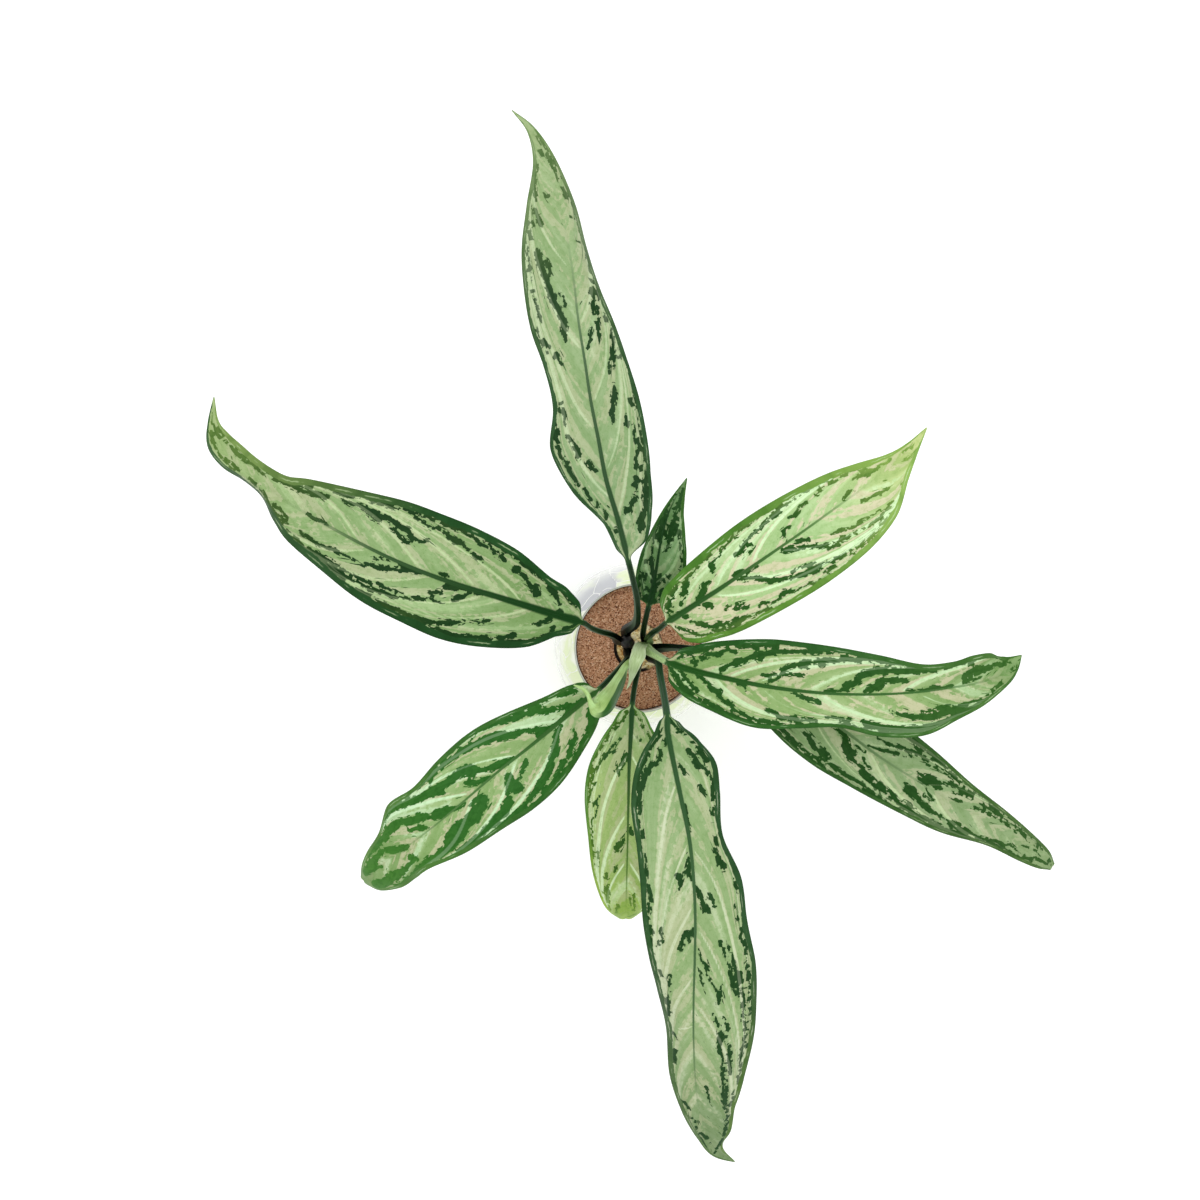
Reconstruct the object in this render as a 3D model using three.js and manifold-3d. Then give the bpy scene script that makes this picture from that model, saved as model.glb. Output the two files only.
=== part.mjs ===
// A potted Chinese evergreen with long silver-and-green leaves, in a round-bellied glazed planter.
// Millimetres, +Z up. The origin is the centre of the planter's underside.
// +Y points to the top of a picture taken from straight above, +X to its right.

import * as THREE from 'three';
import Module from 'manifold-3d';
import { mergeVertices } from 'three/addons/utils/BufferGeometryUtils.js';

// Planter
const POT_HEIGHT = 118;
const LIP_RADIUS = 53.5;
const MOUTH_RADIUS = 51.7;
const BELLY_RADIUS = 71;
const BELLY_HEIGHT = 60;
const FOOT_RADIUS = 45;
const FOOT_HEIGHT = 3;
const WALL = 4.6;
const FLOOR_THICKNESS = 7;
const SHOULDER_HEIGHT = 113;
const LOWER_FULLNESS = 0.8;
const UPPER_FULLNESS = 0.9;
const FOOT_BEVEL = 1;
const LIP_BEVEL = 0.8;
const NECK_DEPTH = 10;
const OUTSIDE_HEIGHTS = [3, 10, 20, 32, 46, 60, 74, 86, 96, 104, 110, 113];
const INSIDE_HEIGHTS = [7, 18, 32, 46, 60, 74, 88, 100, 106];
const POT_SIDES = 40;

// Substrate and the cork disc that covers it
const SOIL_LEVEL = 100;
const SOIL_MOUND = 1.5;
const CORK_THICKNESS = 6;
const CORK_RADIUS = 51.2;
const CORK_HOLE_RADIUS = 20.5;
const CORK_EDGE = 0.8;
const CORK_SIDES = 56;

// Clearance between pieces that touch
const GAP = 0.3;

// Canes: centre-line points with the radius at each, from the buried foot to the growing top
const OLD_CANE = [
  { at: [-7, 0, 62], radius: 5.2 },
  { at: [-8, 2, 94], radius: 5.4 },
  { at: [-9.4, 4.3, 118], radius: 5 },
  { at: [-11, 7, 144], radius: 4.3 },
];
const YOUNG_CANE = [
  { at: [8, -6, 62], radius: 4.8 },
  { at: [6, -3, 94], radius: 5 },
  { at: [4.4, -0.6, 118], radius: 4.8 },
  { at: [3, 1.5, 137], radius: 4.5 },
];
const CANE_SIDES = 14;
const CANE_ROWS = 18;
const CANE_TOP_ROUNDING = 0.72;
const SCAR_SPACING = 9;
const SCAR_HEIGHT = 0.35;

// Leaf stalks and blades. A blade's ring has seven points above and seven below, as a stalk's has.
const STALK_RADIUS = 2.1;
const STALK_SIDES = 14;
const ROWS_PER_STEP = 2;
const EDGE_HALF_THICKNESS = 0.4;
const TIP_RADIUS = 0.5;

// The ridge under the midrib: its half-width, never more than a share of the half blade,
// its depth at the blade's base, and how soon it fades towards the tip
const KEEL_HALF_WIDTH = 2.6;
const KEEL_SHARE = 0.3;
const KEEL_DEPTH = 1.9;
const KEEL_FADE = 1.5;

// The rise of each half blade: its arch between midrib and margin, where that arch has its own point,
// how late the margin's lift sets in, and how the margin's waves die away at the blade's two ends.
// The right margin waves a little slower than the left one and out of step with it.
const CROWN = 0.09;
const ARCH_POINT = 0.62;
const LIFT_ONSET = 1.6;
const WAVE_ENDS = 0.6;
const RIGHT_WAVE_RATE = 0.9;
const RIGHT_WAVE_SHIFT = 0.4;

// One cross-section of a blade: where its midrib is, how far each half reaches out sideways,
// and how far each margin stands above (or hangs below) the midrib
const section = (x, y, z, left, right, liftLeft = 0, liftRight = 0) => ({
  at: [x, y, z],
  reach: [left, right],
  lift: [liftLeft, liftRight],
});

// Every leaf: stalk points from the cane outwards, the sheath's radius at its foot,
// the blade's sections from base to tip, and the waves of its margins
const LEAVES = [
  {
    name: 'leaf_north',
    color: 0x8fb277,
    stalk: [[-11.3, 14.3, 128], [-10.5, 17.2, 150], [-4.4, 24, 178], [-4.9, 39, 210], [-8.8, 53.5, 240]],
    sheath: 3.8,
    blade: [
      section(-13, 67, 263, 3, 3),
      section(-20, 93, 275, 13.5, 22, 2, 2),
      section(-28, 119, 284, 26, 29, 2, 2),
      section(-33, 144, 291, 30.5, 31.5, 1, 1),
      section(-38, 169, 295, 25, 31, 4, 0),
      section(-42, 195, 298, 28, 27, 1, -4),
      section(-46, 220, 299, 31.5, 22.5, 0, -8),
      section(-49, 246, 298, 32, 16, 2, -13),
      section(-53, 273, 295, 28.5, 12, 3, -13),
      section(-59, 301, 290, 19.5, 10.5, 3, -8),
      section(-67, 330, 284, 8.5, 6, 1, -3),
      section(-78, 352, 278, 2.8, 3.2),
      section(-91, 368, 273, 0.5, 0.5),
    ],
    wave: { height: 1.6, count: 3.5, phase: 0.1 },
  },
  {
    name: 'leaf_west',
    color: 0x8bae72,
    stalk: [[-18, 6.4, 126], [-20, 9.6, 144], [-25, 13, 160], [-32, 15.5, 182], [-39, 19, 205]],
    sheath: 3.2,
    blade: [
      section(-45, 23.5, 225, 3, 3),
      section(-60, 28, 233, 14, 16, 2, 3),
      section(-76, 33, 241, 26, 22, 1, 3),
      section(-101, 41, 251, 34, 34.5, 0, 2),
      section(-128, 49.5, 259, 38, 40.5, -2, 0),
      section(-154, 59, 264, 36, 41.5, -3, -1),
      section(-181, 71, 266, 34, 39.5, -3, 0),
      section(-209, 85.5, 264, 28, 32, -3, 2),
      section(-237, 101, 259, 21, 22.5, -4, 4),
      section(-252, 109.5, 255, 13.5, 16, -7, 4),
      section(-266, 118.5, 251, 5.5, 14, -9, 3),
      section(-280, 129, 247, 6, 13, -7, 2),
      section(-292, 140, 243, 8, 12, -4, 0),
      section(-301, 152, 239, 8, 9, -2, -1),
      section(-306, 165, 235, 3.6, 4.6),
      section(-307, 184, 230, 0.5, 0.5),
    ],
    wave: { height: 1.4, count: 3, phase: 0.35 },
  },
  {
    name: 'leaf_north_small',
    color: 0x4f7f45,
    stalk: [[4.5, 7.2, 118], [2.4, 12.5, 142], [2.6, 22.5, 172]],
    sheath: 2.5,
    blade: [
      section(4.2, 35.5, 201, 2.6, 2.6),
      section(6, 46.5, 213, 11.5, 14, 3, 3),
      section(8, 60.5, 228, 14.5, 19, 5, 5),
      section(9.5, 74.5, 243, 14, 17.5, 5, 5),
      section(11.5, 87.5, 257, 10.5, 14, 4, 5),
      section(14.5, 99, 271, 7, 9.5, 3, 4),
      section(19, 109, 285, 3.6, 4.8, 1, 2),
      section(24, 118, 299, 0.5, 0.5),
    ],
    wave: { height: 0.8, count: 2, phase: 0.2 },
  },
  {
    name: 'leaf_north_east',
    color: 0xb9cd8c,
    stalk: [[9.6, 5.8, 126], [10.2, 9.5, 150], [11, 16, 185], [14, 21, 214]],
    sheath: 2.8,
    blade: [
      section(16, 24, 231, 3.4, 3.4),
      section(24, 29.5, 243, 19, 22, 4, 4),
      section(36, 38, 254, 24, 28.5, 4, 4),
      section(50, 47.5, 264, 27, 32.5, 3, 4),
      section(74, 65, 280, 29, 35.5, 2, 2),
      section(98, 82.5, 293, 27.5, 36.5, 1, 0),
      section(122, 100.5, 303, 22.5, 34.5, 2, -2),
      section(140, 114, 309, 15.5, 27.5, 4, -2),
      section(154, 126, 312, 7.5, 14, 2, -1),
      section(164, 136, 314, 3.4, 6),
      section(174, 148, 315, 0.5, 0.5),
    ],
    wave: { height: 1.3, count: 3, phase: 0.6 },
  },
  {
    name: 'leaf_east',
    color: 0x6c9a52,
    stalk: [[5.8, 0, 141.5], [8, -1.5, 166], [11.3, -2.6, 196]],
    sheath: 2.3,
    blade: [
      section(17, -5, 229, 3, 3),
      section(30, -9, 245, 15.5, 17.5, 1, 3),
      section(50, -13, 262, 24, 24, 0, 3),
      section(75, -17.5, 277, 30, 28.5, 0, 1),
      section(100, -20.5, 286, 31, 25, 1, -4),
      section(125, -22, 291, 29.5, 22.5, 2, -6),
      section(151, -22, 293, 25.5, 28, 5, -2),
      section(177, -20.5, 292, 18.5, 29, 7, 0),
      section(198, -18, 289, 17, 23, 5, 1),
      section(216, -15.5, 285, 18, 17, 1, 0),
      section(234, -10.5, 280, 13.5, 10.5, -2, -1),
      section(243, -5, 277, 6.5, 6),
      section(250, 2.5, 275, 0.5, 0.5),
    ],
    wave: { height: 1.5, count: 3, phase: 0.85 },
  },
  {
    name: 'leaf_south_east',
    color: 0x6f9560,
    stalk: [[12.7, -2.4, 112], [14.5, -0.5, 131], [20, 1.5, 151], [32, 3, 178], [46, 2, 198]],
    sheath: 2.6,
    blade: [
      section(64, -3, 212, 3, 3),
      section(84, -13, 223, 18, 18, 3, 3),
      section(110, -31.5, 231, 28, 29, 2, 2),
      section(138, -51, 236, 31, 32, 0, 0),
      section(165, -71, 238, 28.5, 28, -1, -2),
      section(194, -89.5, 237, 24.5, 25, -2, -3),
      section(223, -107, 233, 18.5, 22, -3, -4),
      section(254, -126, 226, 15, 13, -4, -4),
      section(278, -142, 218, 11.5, 8.5, -4, -3),
      section(292, -151, 211, 7, 5.5, -3, -2),
      section(299, -156, 205, 2, 2),
    ],
    wave: { height: 1.4, count: 3, phase: 0.5 },
  },
  {
    name: 'leaf_south',
    color: 0x93b67c,
    stalk: [[8.4, -8, 118], [11.2, -8.4, 140], [13.4, -10, 162], [13.4, -17.5, 186], [14, -29, 222]],
    sheath: 2.7,
    blade: [
      section(14.3, -40.5, 252, 2.8, 2.6),
      section(14, -50, 262, 14.5, 8.5, 1, 2),
      section(15.5, -60, 270, 23, 18.5, 2, 3),
      section(18, -74, 279, 29, 28, 1, 2),
      section(21.5, -92, 287, 26, 33.5, -4, 1),
      section(26, -116, 295, 23, 34.5, -6, 0),
      section(28.5, -142, 299, 32, 34.5, -1, 0),
      section(29.5, -168, 299, 34, 33, 0, 0),
      section(29.5, -195, 295, 39, 28, 0, -3),
      section(29.5, -224, 287, 40.5, 21.5, 0, -8),
      section(30.5, -255, 276, 39, 16, 0, -12),
      section(33, -288, 262, 31.5, 15.5, 0, -9),
      section(37, -315, 250, 23, 11, 0, -5),
      section(44.5, -338, 239, 13, 8, 0, -2),
      section(51, -352, 232, 5.5, 5),
      section(61, -364, 226, 0.5, 0.5),
    ],
    wave: { height: 1.6, count: 4, phase: 0.15 },
  },
  {
    name: 'leaf_south_low',
    color: 0x9fbe62,
    stalk: [[2, -9, 112], [0.2, -10.6, 129], [-2.4, -17.6, 150], [-6, -29, 178]],
    sheath: 2.4,
    blade: [
      section(-8, -39, 196, 2.6, 2.6),
      section(-9, -53, 206, 14, 14, 2, 2),
      section(-10, -67, 213, 22.5, 23, 1, 1),
      section(-11, -84, 219, 28, 29, -1, -1),
      section(-11.5, -105, 222, 29, 30.5, -3, -3),
      section(-12, -134, 219, 27.5, 28, -4, -4),
      section(-12.3, -159, 210, 25, 26, -5, -5),
      section(-12.4, -178, 199, 20, 21, -4, -4),
      section(-12.3, -192, 186, 13, 13.5, -2, -2),
      section(-12.2, -201, 171, 4, 4),
    ],
    wave: { height: 1, count: 2.5, phase: 0.7 },
  },
  {
    name: 'leaf_south_west',
    color: 0x5d8f4a,
    stalk: [[-10.2, -4, 118], [-10.2, -7.6, 136], [-16.3, -13.4, 156], [-24.4, -20.2, 178]],
    sheath: 2.5,
    blade: [
      section(-33.5, -27.5, 198, 2.8, 2.8),
      section(-44, -35, 208, 17.5, 15, 2, 2),
      section(-61, -48.5, 220, 27, 21.5, 1, 3),
      section(-82, -65, 230, 34, 30.5, -1, 1),
      section(-103, -81, 236, 35.5, 33, -2, 0),
      section(-124, -99, 238, 31.5, 33, -2, -2),
      section(-145, -117, 235, 28, 30, -3, -3),
      section(-166, -134, 228, 20.5, 29, 1, -6),
      section(-181, -146, 220, 22.5, 20, -4, -2),
      section(-194, -157, 210, 22, 15, -4, -3),
      section(-204, -166, 199, 15, 9, -2, -2),
      section(-210, -171, 189, 5, 3),
    ],
    wave: { height: 1.5, count: 3, phase: 0.4 },
  },
];

// The youngest leaf, still rolled: centre line, and its half-width, half-height and lap at each point
const ROLLED_LEAF = [
  { at: [0.6, -2, 141.5], wide: 2, high: 2, lap: 0 },
  { at: [-4.5, -5, 165], wide: 2.1, high: 2.1, lap: 0.5 },
  { at: [-12.4, -9.7, 188], wide: 2.6, high: 2.6, lap: 1 },
  { at: [-17, -15.5, 212], wide: 3.6, high: 3.2, lap: 3.6 },
  { at: [-23, -24, 236], wide: 5, high: 3.8, lap: 4 },
  { at: [-30, -32, 256], wide: 6.2, high: 4, lap: 3.4 },
  { at: [-37.5, -31, 267], wide: 4.2, high: 3.2, lap: 1 },
  { at: [-43, -24.5, 269], wide: 2.4, high: 2, lap: 0 },
  { at: [-51, -19, 264], wide: 0.7, high: 0.7, lap: 0 },
];
const ROLLED_SIDES = 14;
const ROLLED_ROWS_PER_STEP = 3;
const LAP_ANGLE = Math.PI * 0.93;

// The pale pointed bract beside it: centre line and half-width at each point
const BRACT = [
  { at: [1.4, 4, 141.5], half: 3 },
  { at: [1.2, 4.2, 163], half: 4.2 },
  { at: [-0.5, 1.6, 183], half: 4.9 },
  { at: [-3, -7.4, 190], half: 4.3 },
  { at: [-6.2, -15.5, 185], half: 3.3 },
  { at: [-9.2, -22.5, 174], half: 1.9 },
  { at: [-11, -28, 162], half: 0.5 },
];
const BRACT_SIDE = new THREE.Vector3(1, -0.3, 0);
const BRACT_STATIONS = [1, 0.5, 0, -0.5, -1];
const BRACT_HALF_THICKNESS = 0.45;
const BRACT_ROWS_PER_STEP = 3;
const BRACT_CURL = 0.28;

// Corners closer than this are one corner
const MERGE_DISTANCE = 1e-4;

const UP = new THREE.Vector3(0, 0, 1);
const wasm = await Module();
wasm.setup();

/** A plain surface finish. */
function finish(color, roughness) {
  return new THREE.MeshStandardMaterial({ color, roughness, metalness: 0 });
}

/** A named mesh with its own finish. */
function piece(name, geometry, material) {
  const mesh = new THREE.Mesh(geometry, material);
  mesh.name = name;
  return mesh;
}

/** Smooth curve through the given points; its parameter advances evenly from point to point. */
function smoothCurve(points) {
  const vectors = points.map((point) => new THREE.Vector3(...point));
  return new THREE.CatmullRomCurve3(vectors, false, 'catmullrom', 0.5);
}

/** Value of a list read smoothly between its entries, at an index that need not be whole. */
function smoothValue(values, index) {
  const curve = smoothCurve(values.map((value) => [value, 0, 0]));
  return curve.getPoint(index / (values.length - 1)).x;
}

/**
 * Closed skin over a stack of rings, capped at both ends by fans.
 * Each ring runs round the axis from its left side over the top to its right side and back underneath.
 * The lower half's quads are split along the same diagonals as the upper half's.
 */
function skin(rings) {
  const count = rings[0].length;
  const positions = [];
  const triangles = [];
  for (const ring of rings) {
    for (const point of ring) {
      positions.push(point.x, point.y, point.z);
    }
  }
  for (let row = 0; row < rings.length - 1; row += 1) {
    for (let k = 0; k < count; k += 1) {
      const a = row * count + k;
      const aNext = row * count + ((k + 1) % count);
      const b = a + count;
      const bNext = aNext + count;
      if (k < count / 2) {
        triangles.push(a, aNext, b, aNext, bNext, b);
      } else {
        triangles.push(a, aNext, bNext, a, bNext, b);
      }
    }
  }
  const first = positions.length / 3;
  const last = first + 1;
  for (const ring of [rings[0], rings[rings.length - 1]]) {
    const centre = new THREE.Vector3();
    for (const point of ring) {
      centre.addScaledVector(point, 1 / count);
    }
    positions.push(centre.x, centre.y, centre.z);
  }
  const lastRow = (rings.length - 1) * count;
  for (let k = 0; k < count; k += 1) {
    const next = (k + 1) % count;
    triangles.push(first, next, k, last, lastRow + k, lastRow + next);
  }
  const geometry = new THREE.BufferGeometry();
  geometry.setAttribute('position', new THREE.Float32BufferAttribute(positions, 3));
  geometry.setIndex(triangles);
  geometry.computeVertexNormals();
  return geometry;
}

/** Directions at a point of a centre line: along it, to its left, and up out of it. */
function frameAt(tangent, sideHint) {
  const along = tangent.clone().normalize();
  const side = sideHint.clone().addScaledVector(along, -sideHint.dot(along)).normalize();
  const up = along.clone().cross(side);
  return { along, side, up };
}

/** Point set off sideways and upwards from a centre, in a frame's own directions. */
function offset(centre, frame, across, above) {
  return centre.clone().addScaledVector(frame.side, across).addScaledVector(frame.up, above);
}

/** Height of a blade above its midrib at a place across it: 0 at the midrib, 1 at a margin. */
function bladeHeight(fraction, reach, lift, wave) {
  const arch = CROWN * reach * Math.sin(Math.PI * fraction);
  return lift * fraction ** LIFT_ONSET + arch + wave * fraction ** 2;
}

/** Seven points across a blade's middle surface, from the left margin to the right one. */
function bladeLine(reach, lift, wave) {
  const line = [];
  for (const side of [0, 1]) {
    const sign = side === 0 ? 1 : -1;
    const keel = Math.min(KEEL_SHARE, KEEL_HALF_WIDTH / reach[side]);
    const fractions = side === 0 ? [1, ARCH_POINT, keel, 0] : [keel, ARCH_POINT, 1];
    for (const fraction of fractions) {
      line.push({
        across: sign * fraction * reach[side],
        above: bladeHeight(fraction, reach[side], lift[side], wave[side]),
        keel: Math.max(0, 1 - fraction / keel),
      });
    }
  }
  return line;
}

/** Ring round a blade: its upper face from left to right, then its lower face back again. */
function bladeRing(centre, frame, line, keelDepth) {
  const upper = [];
  const lower = [];
  for (let k = 0; k < line.length; k += 1) {
    const before = line[Math.max(0, k - 1)];
    const after = line[Math.min(line.length - 1, k + 1)];
    const run = before.across - after.across;
    const rise = before.above - after.above;
    const length = Math.hypot(run, rise);
    const normalAcross = -rise / length;
    const normalAbove = run / length;
    const { across, above, keel } = line[k];
    const under = EDGE_HALF_THICKNESS + keel * keelDepth;
    upper.push(offset(
      centre,
      frame,
      across + normalAcross * EDGE_HALF_THICKNESS,
      above + normalAbove * EDGE_HALF_THICKNESS,
    ));
    lower.push(offset(centre, frame, across - normalAcross * under, above - normalAbove * under));
  }
  return [...upper, ...lower.reverse()];
}

/** Round ring with an even number of sides, whose points pair up with a blade ring's. */
function roundRing(centre, frame, wide, high, sides) {
  const ring = [];
  for (let k = 0; k < sides; k += 1) {
    const angle = ((k + 0.5) * 2 * Math.PI) / sides;
    ring.push(offset(centre, frame, wide * Math.cos(angle), high * Math.sin(angle)));
  }
  return ring;
}

/** One leaf: a round stalk with a wider foot that flattens into a keeled blade with waved margins. */
function leafGeometry(leaf) {
  const stalkSteps = leaf.stalk.length;
  const steps = stalkSteps + leaf.blade.length - 1;
  const curve = smoothCurve([...leaf.stalk, ...leaf.blade.map((entry) => entry.at)]);
  const baseTangent = curve.getTangent((stalkSteps + 0.5) / steps);
  const stalkSide = UP.clone().cross(baseTangent).normalize();
  const rings = [];
  for (let row = 0; row <= steps * ROWS_PER_STEP; row += 1) {
    const index = row / ROWS_PER_STEP;
    const centre = curve.getPoint(index / steps);
    const tangent = curve.getTangent(index / steps);
    const bladeIndex = index - stalkSteps;
    if (bladeIndex <= 0) {
      const frame = frameAt(tangent, stalkSide);
      const foot = (1 - index / stalkSteps) ** 2;
      const radius = THREE.MathUtils.lerp(STALK_RADIUS, leaf.sheath, foot);
      rings.push(roundRing(centre, frame, radius, radius, STALK_SIDES));
      continue;
    }
    const blend = THREE.MathUtils.smoothstep(bladeIndex, 0, 1);
    const side = stalkSide.clone().lerp(UP.clone().cross(tangent).normalize(), blend);
    const frame = frameAt(tangent, side);
    const along = bladeIndex / (leaf.blade.length - 1);
    const swell = leaf.wave.height * Math.sin(Math.PI * along) ** WAVE_ENDS;
    const turns = leaf.wave.count * along + leaf.wave.phase;
    const wave = [
      swell * Math.sin(2 * Math.PI * turns),
      swell * Math.sin(2 * Math.PI * (turns * RIGHT_WAVE_RATE + RIGHT_WAVE_SHIFT)),
    ];
    const read = (key, which) => smoothValue(leaf.blade.map((entry) => entry[key][which]), bladeIndex);
    const reach = [Math.max(TIP_RADIUS, read('reach', 0)), Math.max(TIP_RADIUS, read('reach', 1))];
    const lift = [read('lift', 0), read('lift', 1)];
    const keelDepth = KEEL_DEPTH * (1 - along) ** KEEL_FADE;
    const flat = bladeRing(centre, frame, bladeLine(reach, lift, wave), keelDepth);
    const round = roundRing(centre, frame, STALK_RADIUS, STALK_RADIUS, STALK_SIDES);
    rings.push(flat.map((point, k) => round[k].clone().lerp(point, blend)));
  }
  return skin(rings);
}

/** A cane: a tapering tube with a raised leaf scar every few millimetres and a rounded top. */
function caneGeometry(cane, extra = 0) {
  const curve = smoothCurve(cane.map((entry) => entry.at));
  const radii = cane.map((entry) => entry.radius);
  const rings = [];
  for (let row = 0; row <= CANE_ROWS; row += 1) {
    const along = row / CANE_ROWS;
    const centre = curve.getPoint(along);
    const frame = frameAt(curve.getTangent(along), new THREE.Vector3(1, 0, 0));
    const scar = SCAR_HEIGHT * Math.cos((2 * Math.PI * centre.z) / SCAR_SPACING);
    const topRounding = along === 1 ? CANE_TOP_ROUNDING : 1;
    const radius = smoothValue(radii, along * (cane.length - 1)) * topRounding + scar + extra;
    rings.push(roundRing(centre, frame, radius, radius, CANE_SIDES));
  }
  return skin(rings);
}

/** The rolled young leaf: an oval tube that swells and hooks over, with the outer lap's edge along it. */
function rolledLeafGeometry() {
  const curve = smoothCurve(ROLLED_LEAF.map((entry) => entry.at));
  const steps = ROLLED_LEAF.length - 1;
  const rings = [];
  for (let row = 0; row <= steps * ROLLED_ROWS_PER_STEP; row += 1) {
    const index = row / ROLLED_ROWS_PER_STEP;
    const tangent = curve.getTangent(index / steps);
    const frame = frameAt(tangent, UP.clone().cross(tangent));
    const centre = curve.getPoint(index / steps);
    const wide = smoothValue(ROLLED_LEAF.map((entry) => entry.wide), index);
    const high = smoothValue(ROLLED_LEAF.map((entry) => entry.high), index);
    const lap = Math.max(0, smoothValue(ROLLED_LEAF.map((entry) => entry.lap), index));
    const lapDirection = offset(new THREE.Vector3(), frame, -Math.cos(LAP_ANGLE), Math.sin(LAP_ANGLE));
    const ring = roundRing(centre, frame, wide, high, ROLLED_SIDES);
    const lapCorner = ROLLED_SIDES - 1;
    ring[lapCorner].addScaledVector(lapDirection, lap);
    rings.push(ring);
  }
  return skin(rings);
}

/** The bract: a thin pointed strap, curled up a little along both edges. */
function bractGeometry() {
  const curve = smoothCurve(BRACT.map((entry) => entry.at));
  const steps = BRACT.length - 1;
  const rings = [];
  for (let row = 0; row <= steps * BRACT_ROWS_PER_STEP; row += 1) {
    const index = row / BRACT_ROWS_PER_STEP;
    const frame = frameAt(curve.getTangent(index / steps), BRACT_SIDE);
    const centre = curve.getPoint(index / steps);
    const half = smoothValue(BRACT.map((entry) => entry.half), index);
    const curl = (station) => BRACT_CURL * half * station ** 2;
    const edge = (station, above) => offset(centre, frame, station * half, curl(station) + above);
    const upper = BRACT_STATIONS.map((station) => edge(station, BRACT_HALF_THICKNESS));
    const lower = BRACT_STATIONS.map((station) => edge(station, -BRACT_HALF_THICKNESS));
    rings.push([...upper, ...lower.reverse()]);
  }
  return skin(rings);
}

/** Solid of revolution about +Z from an outline given as [radius, height] pairs. */
function turned(outline, sides) {
  const profile = outline.map(([radius, height]) => new THREE.Vector2(radius, height));
  const geometry = new THREE.LatheGeometry(profile, sides);
  geometry.rotateX(Math.PI / 2);
  return geometry;
}

/** Outer radius of the planter's body at a height: a round belly that narrows to the foot and to the lip. */
function bodyRadius(height) {
  if (height < BELLY_HEIGHT) {
    const rise = Math.max(0, (height - FOOT_HEIGHT) / (BELLY_HEIGHT - FOOT_HEIGHT));
    return FOOT_RADIUS + (BELLY_RADIUS - FOOT_RADIUS) * Math.sin((Math.PI / 2) * rise) ** LOWER_FULLNESS;
  }
  const fall = Math.min(1, (height - BELLY_HEIGHT) / (SHOULDER_HEIGHT - BELLY_HEIGHT));
  return LIP_RADIUS + (BELLY_RADIUS - LIP_RADIUS) * Math.cos((Math.PI / 2) * fall) ** UPPER_FULLNESS;
}

/** Points on the planter's wall at the given heights, set in from its outside. */
function wallOutline(inset, heights) {
  return heights.map((height) => [bodyRadius(height) - inset, height]);
}

/** The planter: a round belly on a narrow foot, with a rolled lip round a smaller mouth. */
function potGeometry() {
  return turned([
    [0, 0],
    [FOOT_RADIUS - FOOT_BEVEL, 0],
    [FOOT_RADIUS, FOOT_BEVEL],
    ...wallOutline(0, OUTSIDE_HEIGHTS),
    [LIP_RADIUS, POT_HEIGHT - LIP_BEVEL],
    [LIP_RADIUS - LIP_BEVEL / 2, POT_HEIGHT],
    [MOUTH_RADIUS + LIP_BEVEL / 2, POT_HEIGHT],
    [MOUTH_RADIUS, POT_HEIGHT - LIP_BEVEL],
    [MOUTH_RADIUS, POT_HEIGHT - NECK_DEPTH],
    ...wallOutline(WALL, INSIDE_HEIGHTS).reverse(),
    [0, FLOOR_THICKNESS],
  ], POT_SIDES);
}

/** Merged closed mesh of a geometry as a solid that can be joined and cut. */
function toSolid(geometry) {
  const plain = geometry.clone();
  plain.deleteAttribute('normal');
  plain.deleteAttribute('uv');
  const merged = mergeVertices(plain, MERGE_DISTANCE);
  return new wasm.Manifold(new wasm.Mesh({
    numProp: 3,
    vertProperties: new Float32Array(merged.attributes.position.array),
    triVerts: new Uint32Array(merged.index.array),
  }));
}

/** Geometry of a solid. */
function toGeometry(solid) {
  const mesh = solid.getMesh();
  const geometry = new THREE.BufferGeometry();
  geometry.setAttribute('position', new THREE.Float32BufferAttribute(mesh.vertProperties, 3));
  geometry.setIndex(Array.from(mesh.triVerts));
  geometry.computeVertexNormals();
  return geometry;
}

/** The substrate: it fills the planter and has a plain hole for each cane. */
function soilGeometry() {
  const wallHeights = INSIDE_HEIGHTS.slice(1).filter((height) => height <= SOIL_LEVEL);
  const heights = [FLOOR_THICKNESS + GAP, ...wallHeights];
  const body = toSolid(turned([
    [0, FLOOR_THICKNESS + GAP],
    ...wallOutline(WALL + GAP, heights),
    [CORK_HOLE_RADIUS, SOIL_LEVEL],
    [0, SOIL_LEVEL + SOIL_MOUND],
  ], POT_SIDES));
  const canes = [OLD_CANE, YOUNG_CANE].map((cane) => toSolid(caneGeometry(cane, GAP)));
  return toGeometry(body.subtract(canes[0]).subtract(canes[1]));
}

/** The cork disc: a flat ring with eased edges that lies on the substrate. */
function corkGeometry() {
  const bottom = SOIL_LEVEL + GAP;
  const top = bottom + CORK_THICKNESS;
  return turned([
    [CORK_HOLE_RADIUS, bottom],
    [CORK_RADIUS, bottom],
    [CORK_RADIUS, top - CORK_EDGE],
    [CORK_RADIUS - CORK_EDGE, top],
    [CORK_HOLE_RADIUS + CORK_EDGE, top],
    [CORK_HOLE_RADIUS, top - CORK_EDGE],
    [CORK_HOLE_RADIUS, bottom],
  ], CORK_SIDES);
}

const plant = new THREE.Group();
plant.add(piece('planter_pot', potGeometry(), finish(0xeef2e4, 0.3)));
plant.add(piece('soil', soilGeometry(), finish(0xcdb58a, 0.95)));
plant.add(piece('cork_disc', corkGeometry(), finish(0xa9714f, 0.95)));
plant.add(piece('cane_old', caneGeometry(OLD_CANE), finish(0x6a6038, 0.7)));
plant.add(piece('cane_young', caneGeometry(YOUNG_CANE), finish(0x5f8a4c, 0.6)));
for (const leaf of LEAVES) {
  plant.add(piece(leaf.name, leafGeometry(leaf), finish(leaf.color, 0.45)));
}
plant.add(piece('new_leaf_roll', rolledLeafGeometry(), finish(0xa5cd78, 0.5)));
plant.add(piece('bract', bractGeometry(), finish(0xb4d796, 0.5)));

export default plant;
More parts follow.
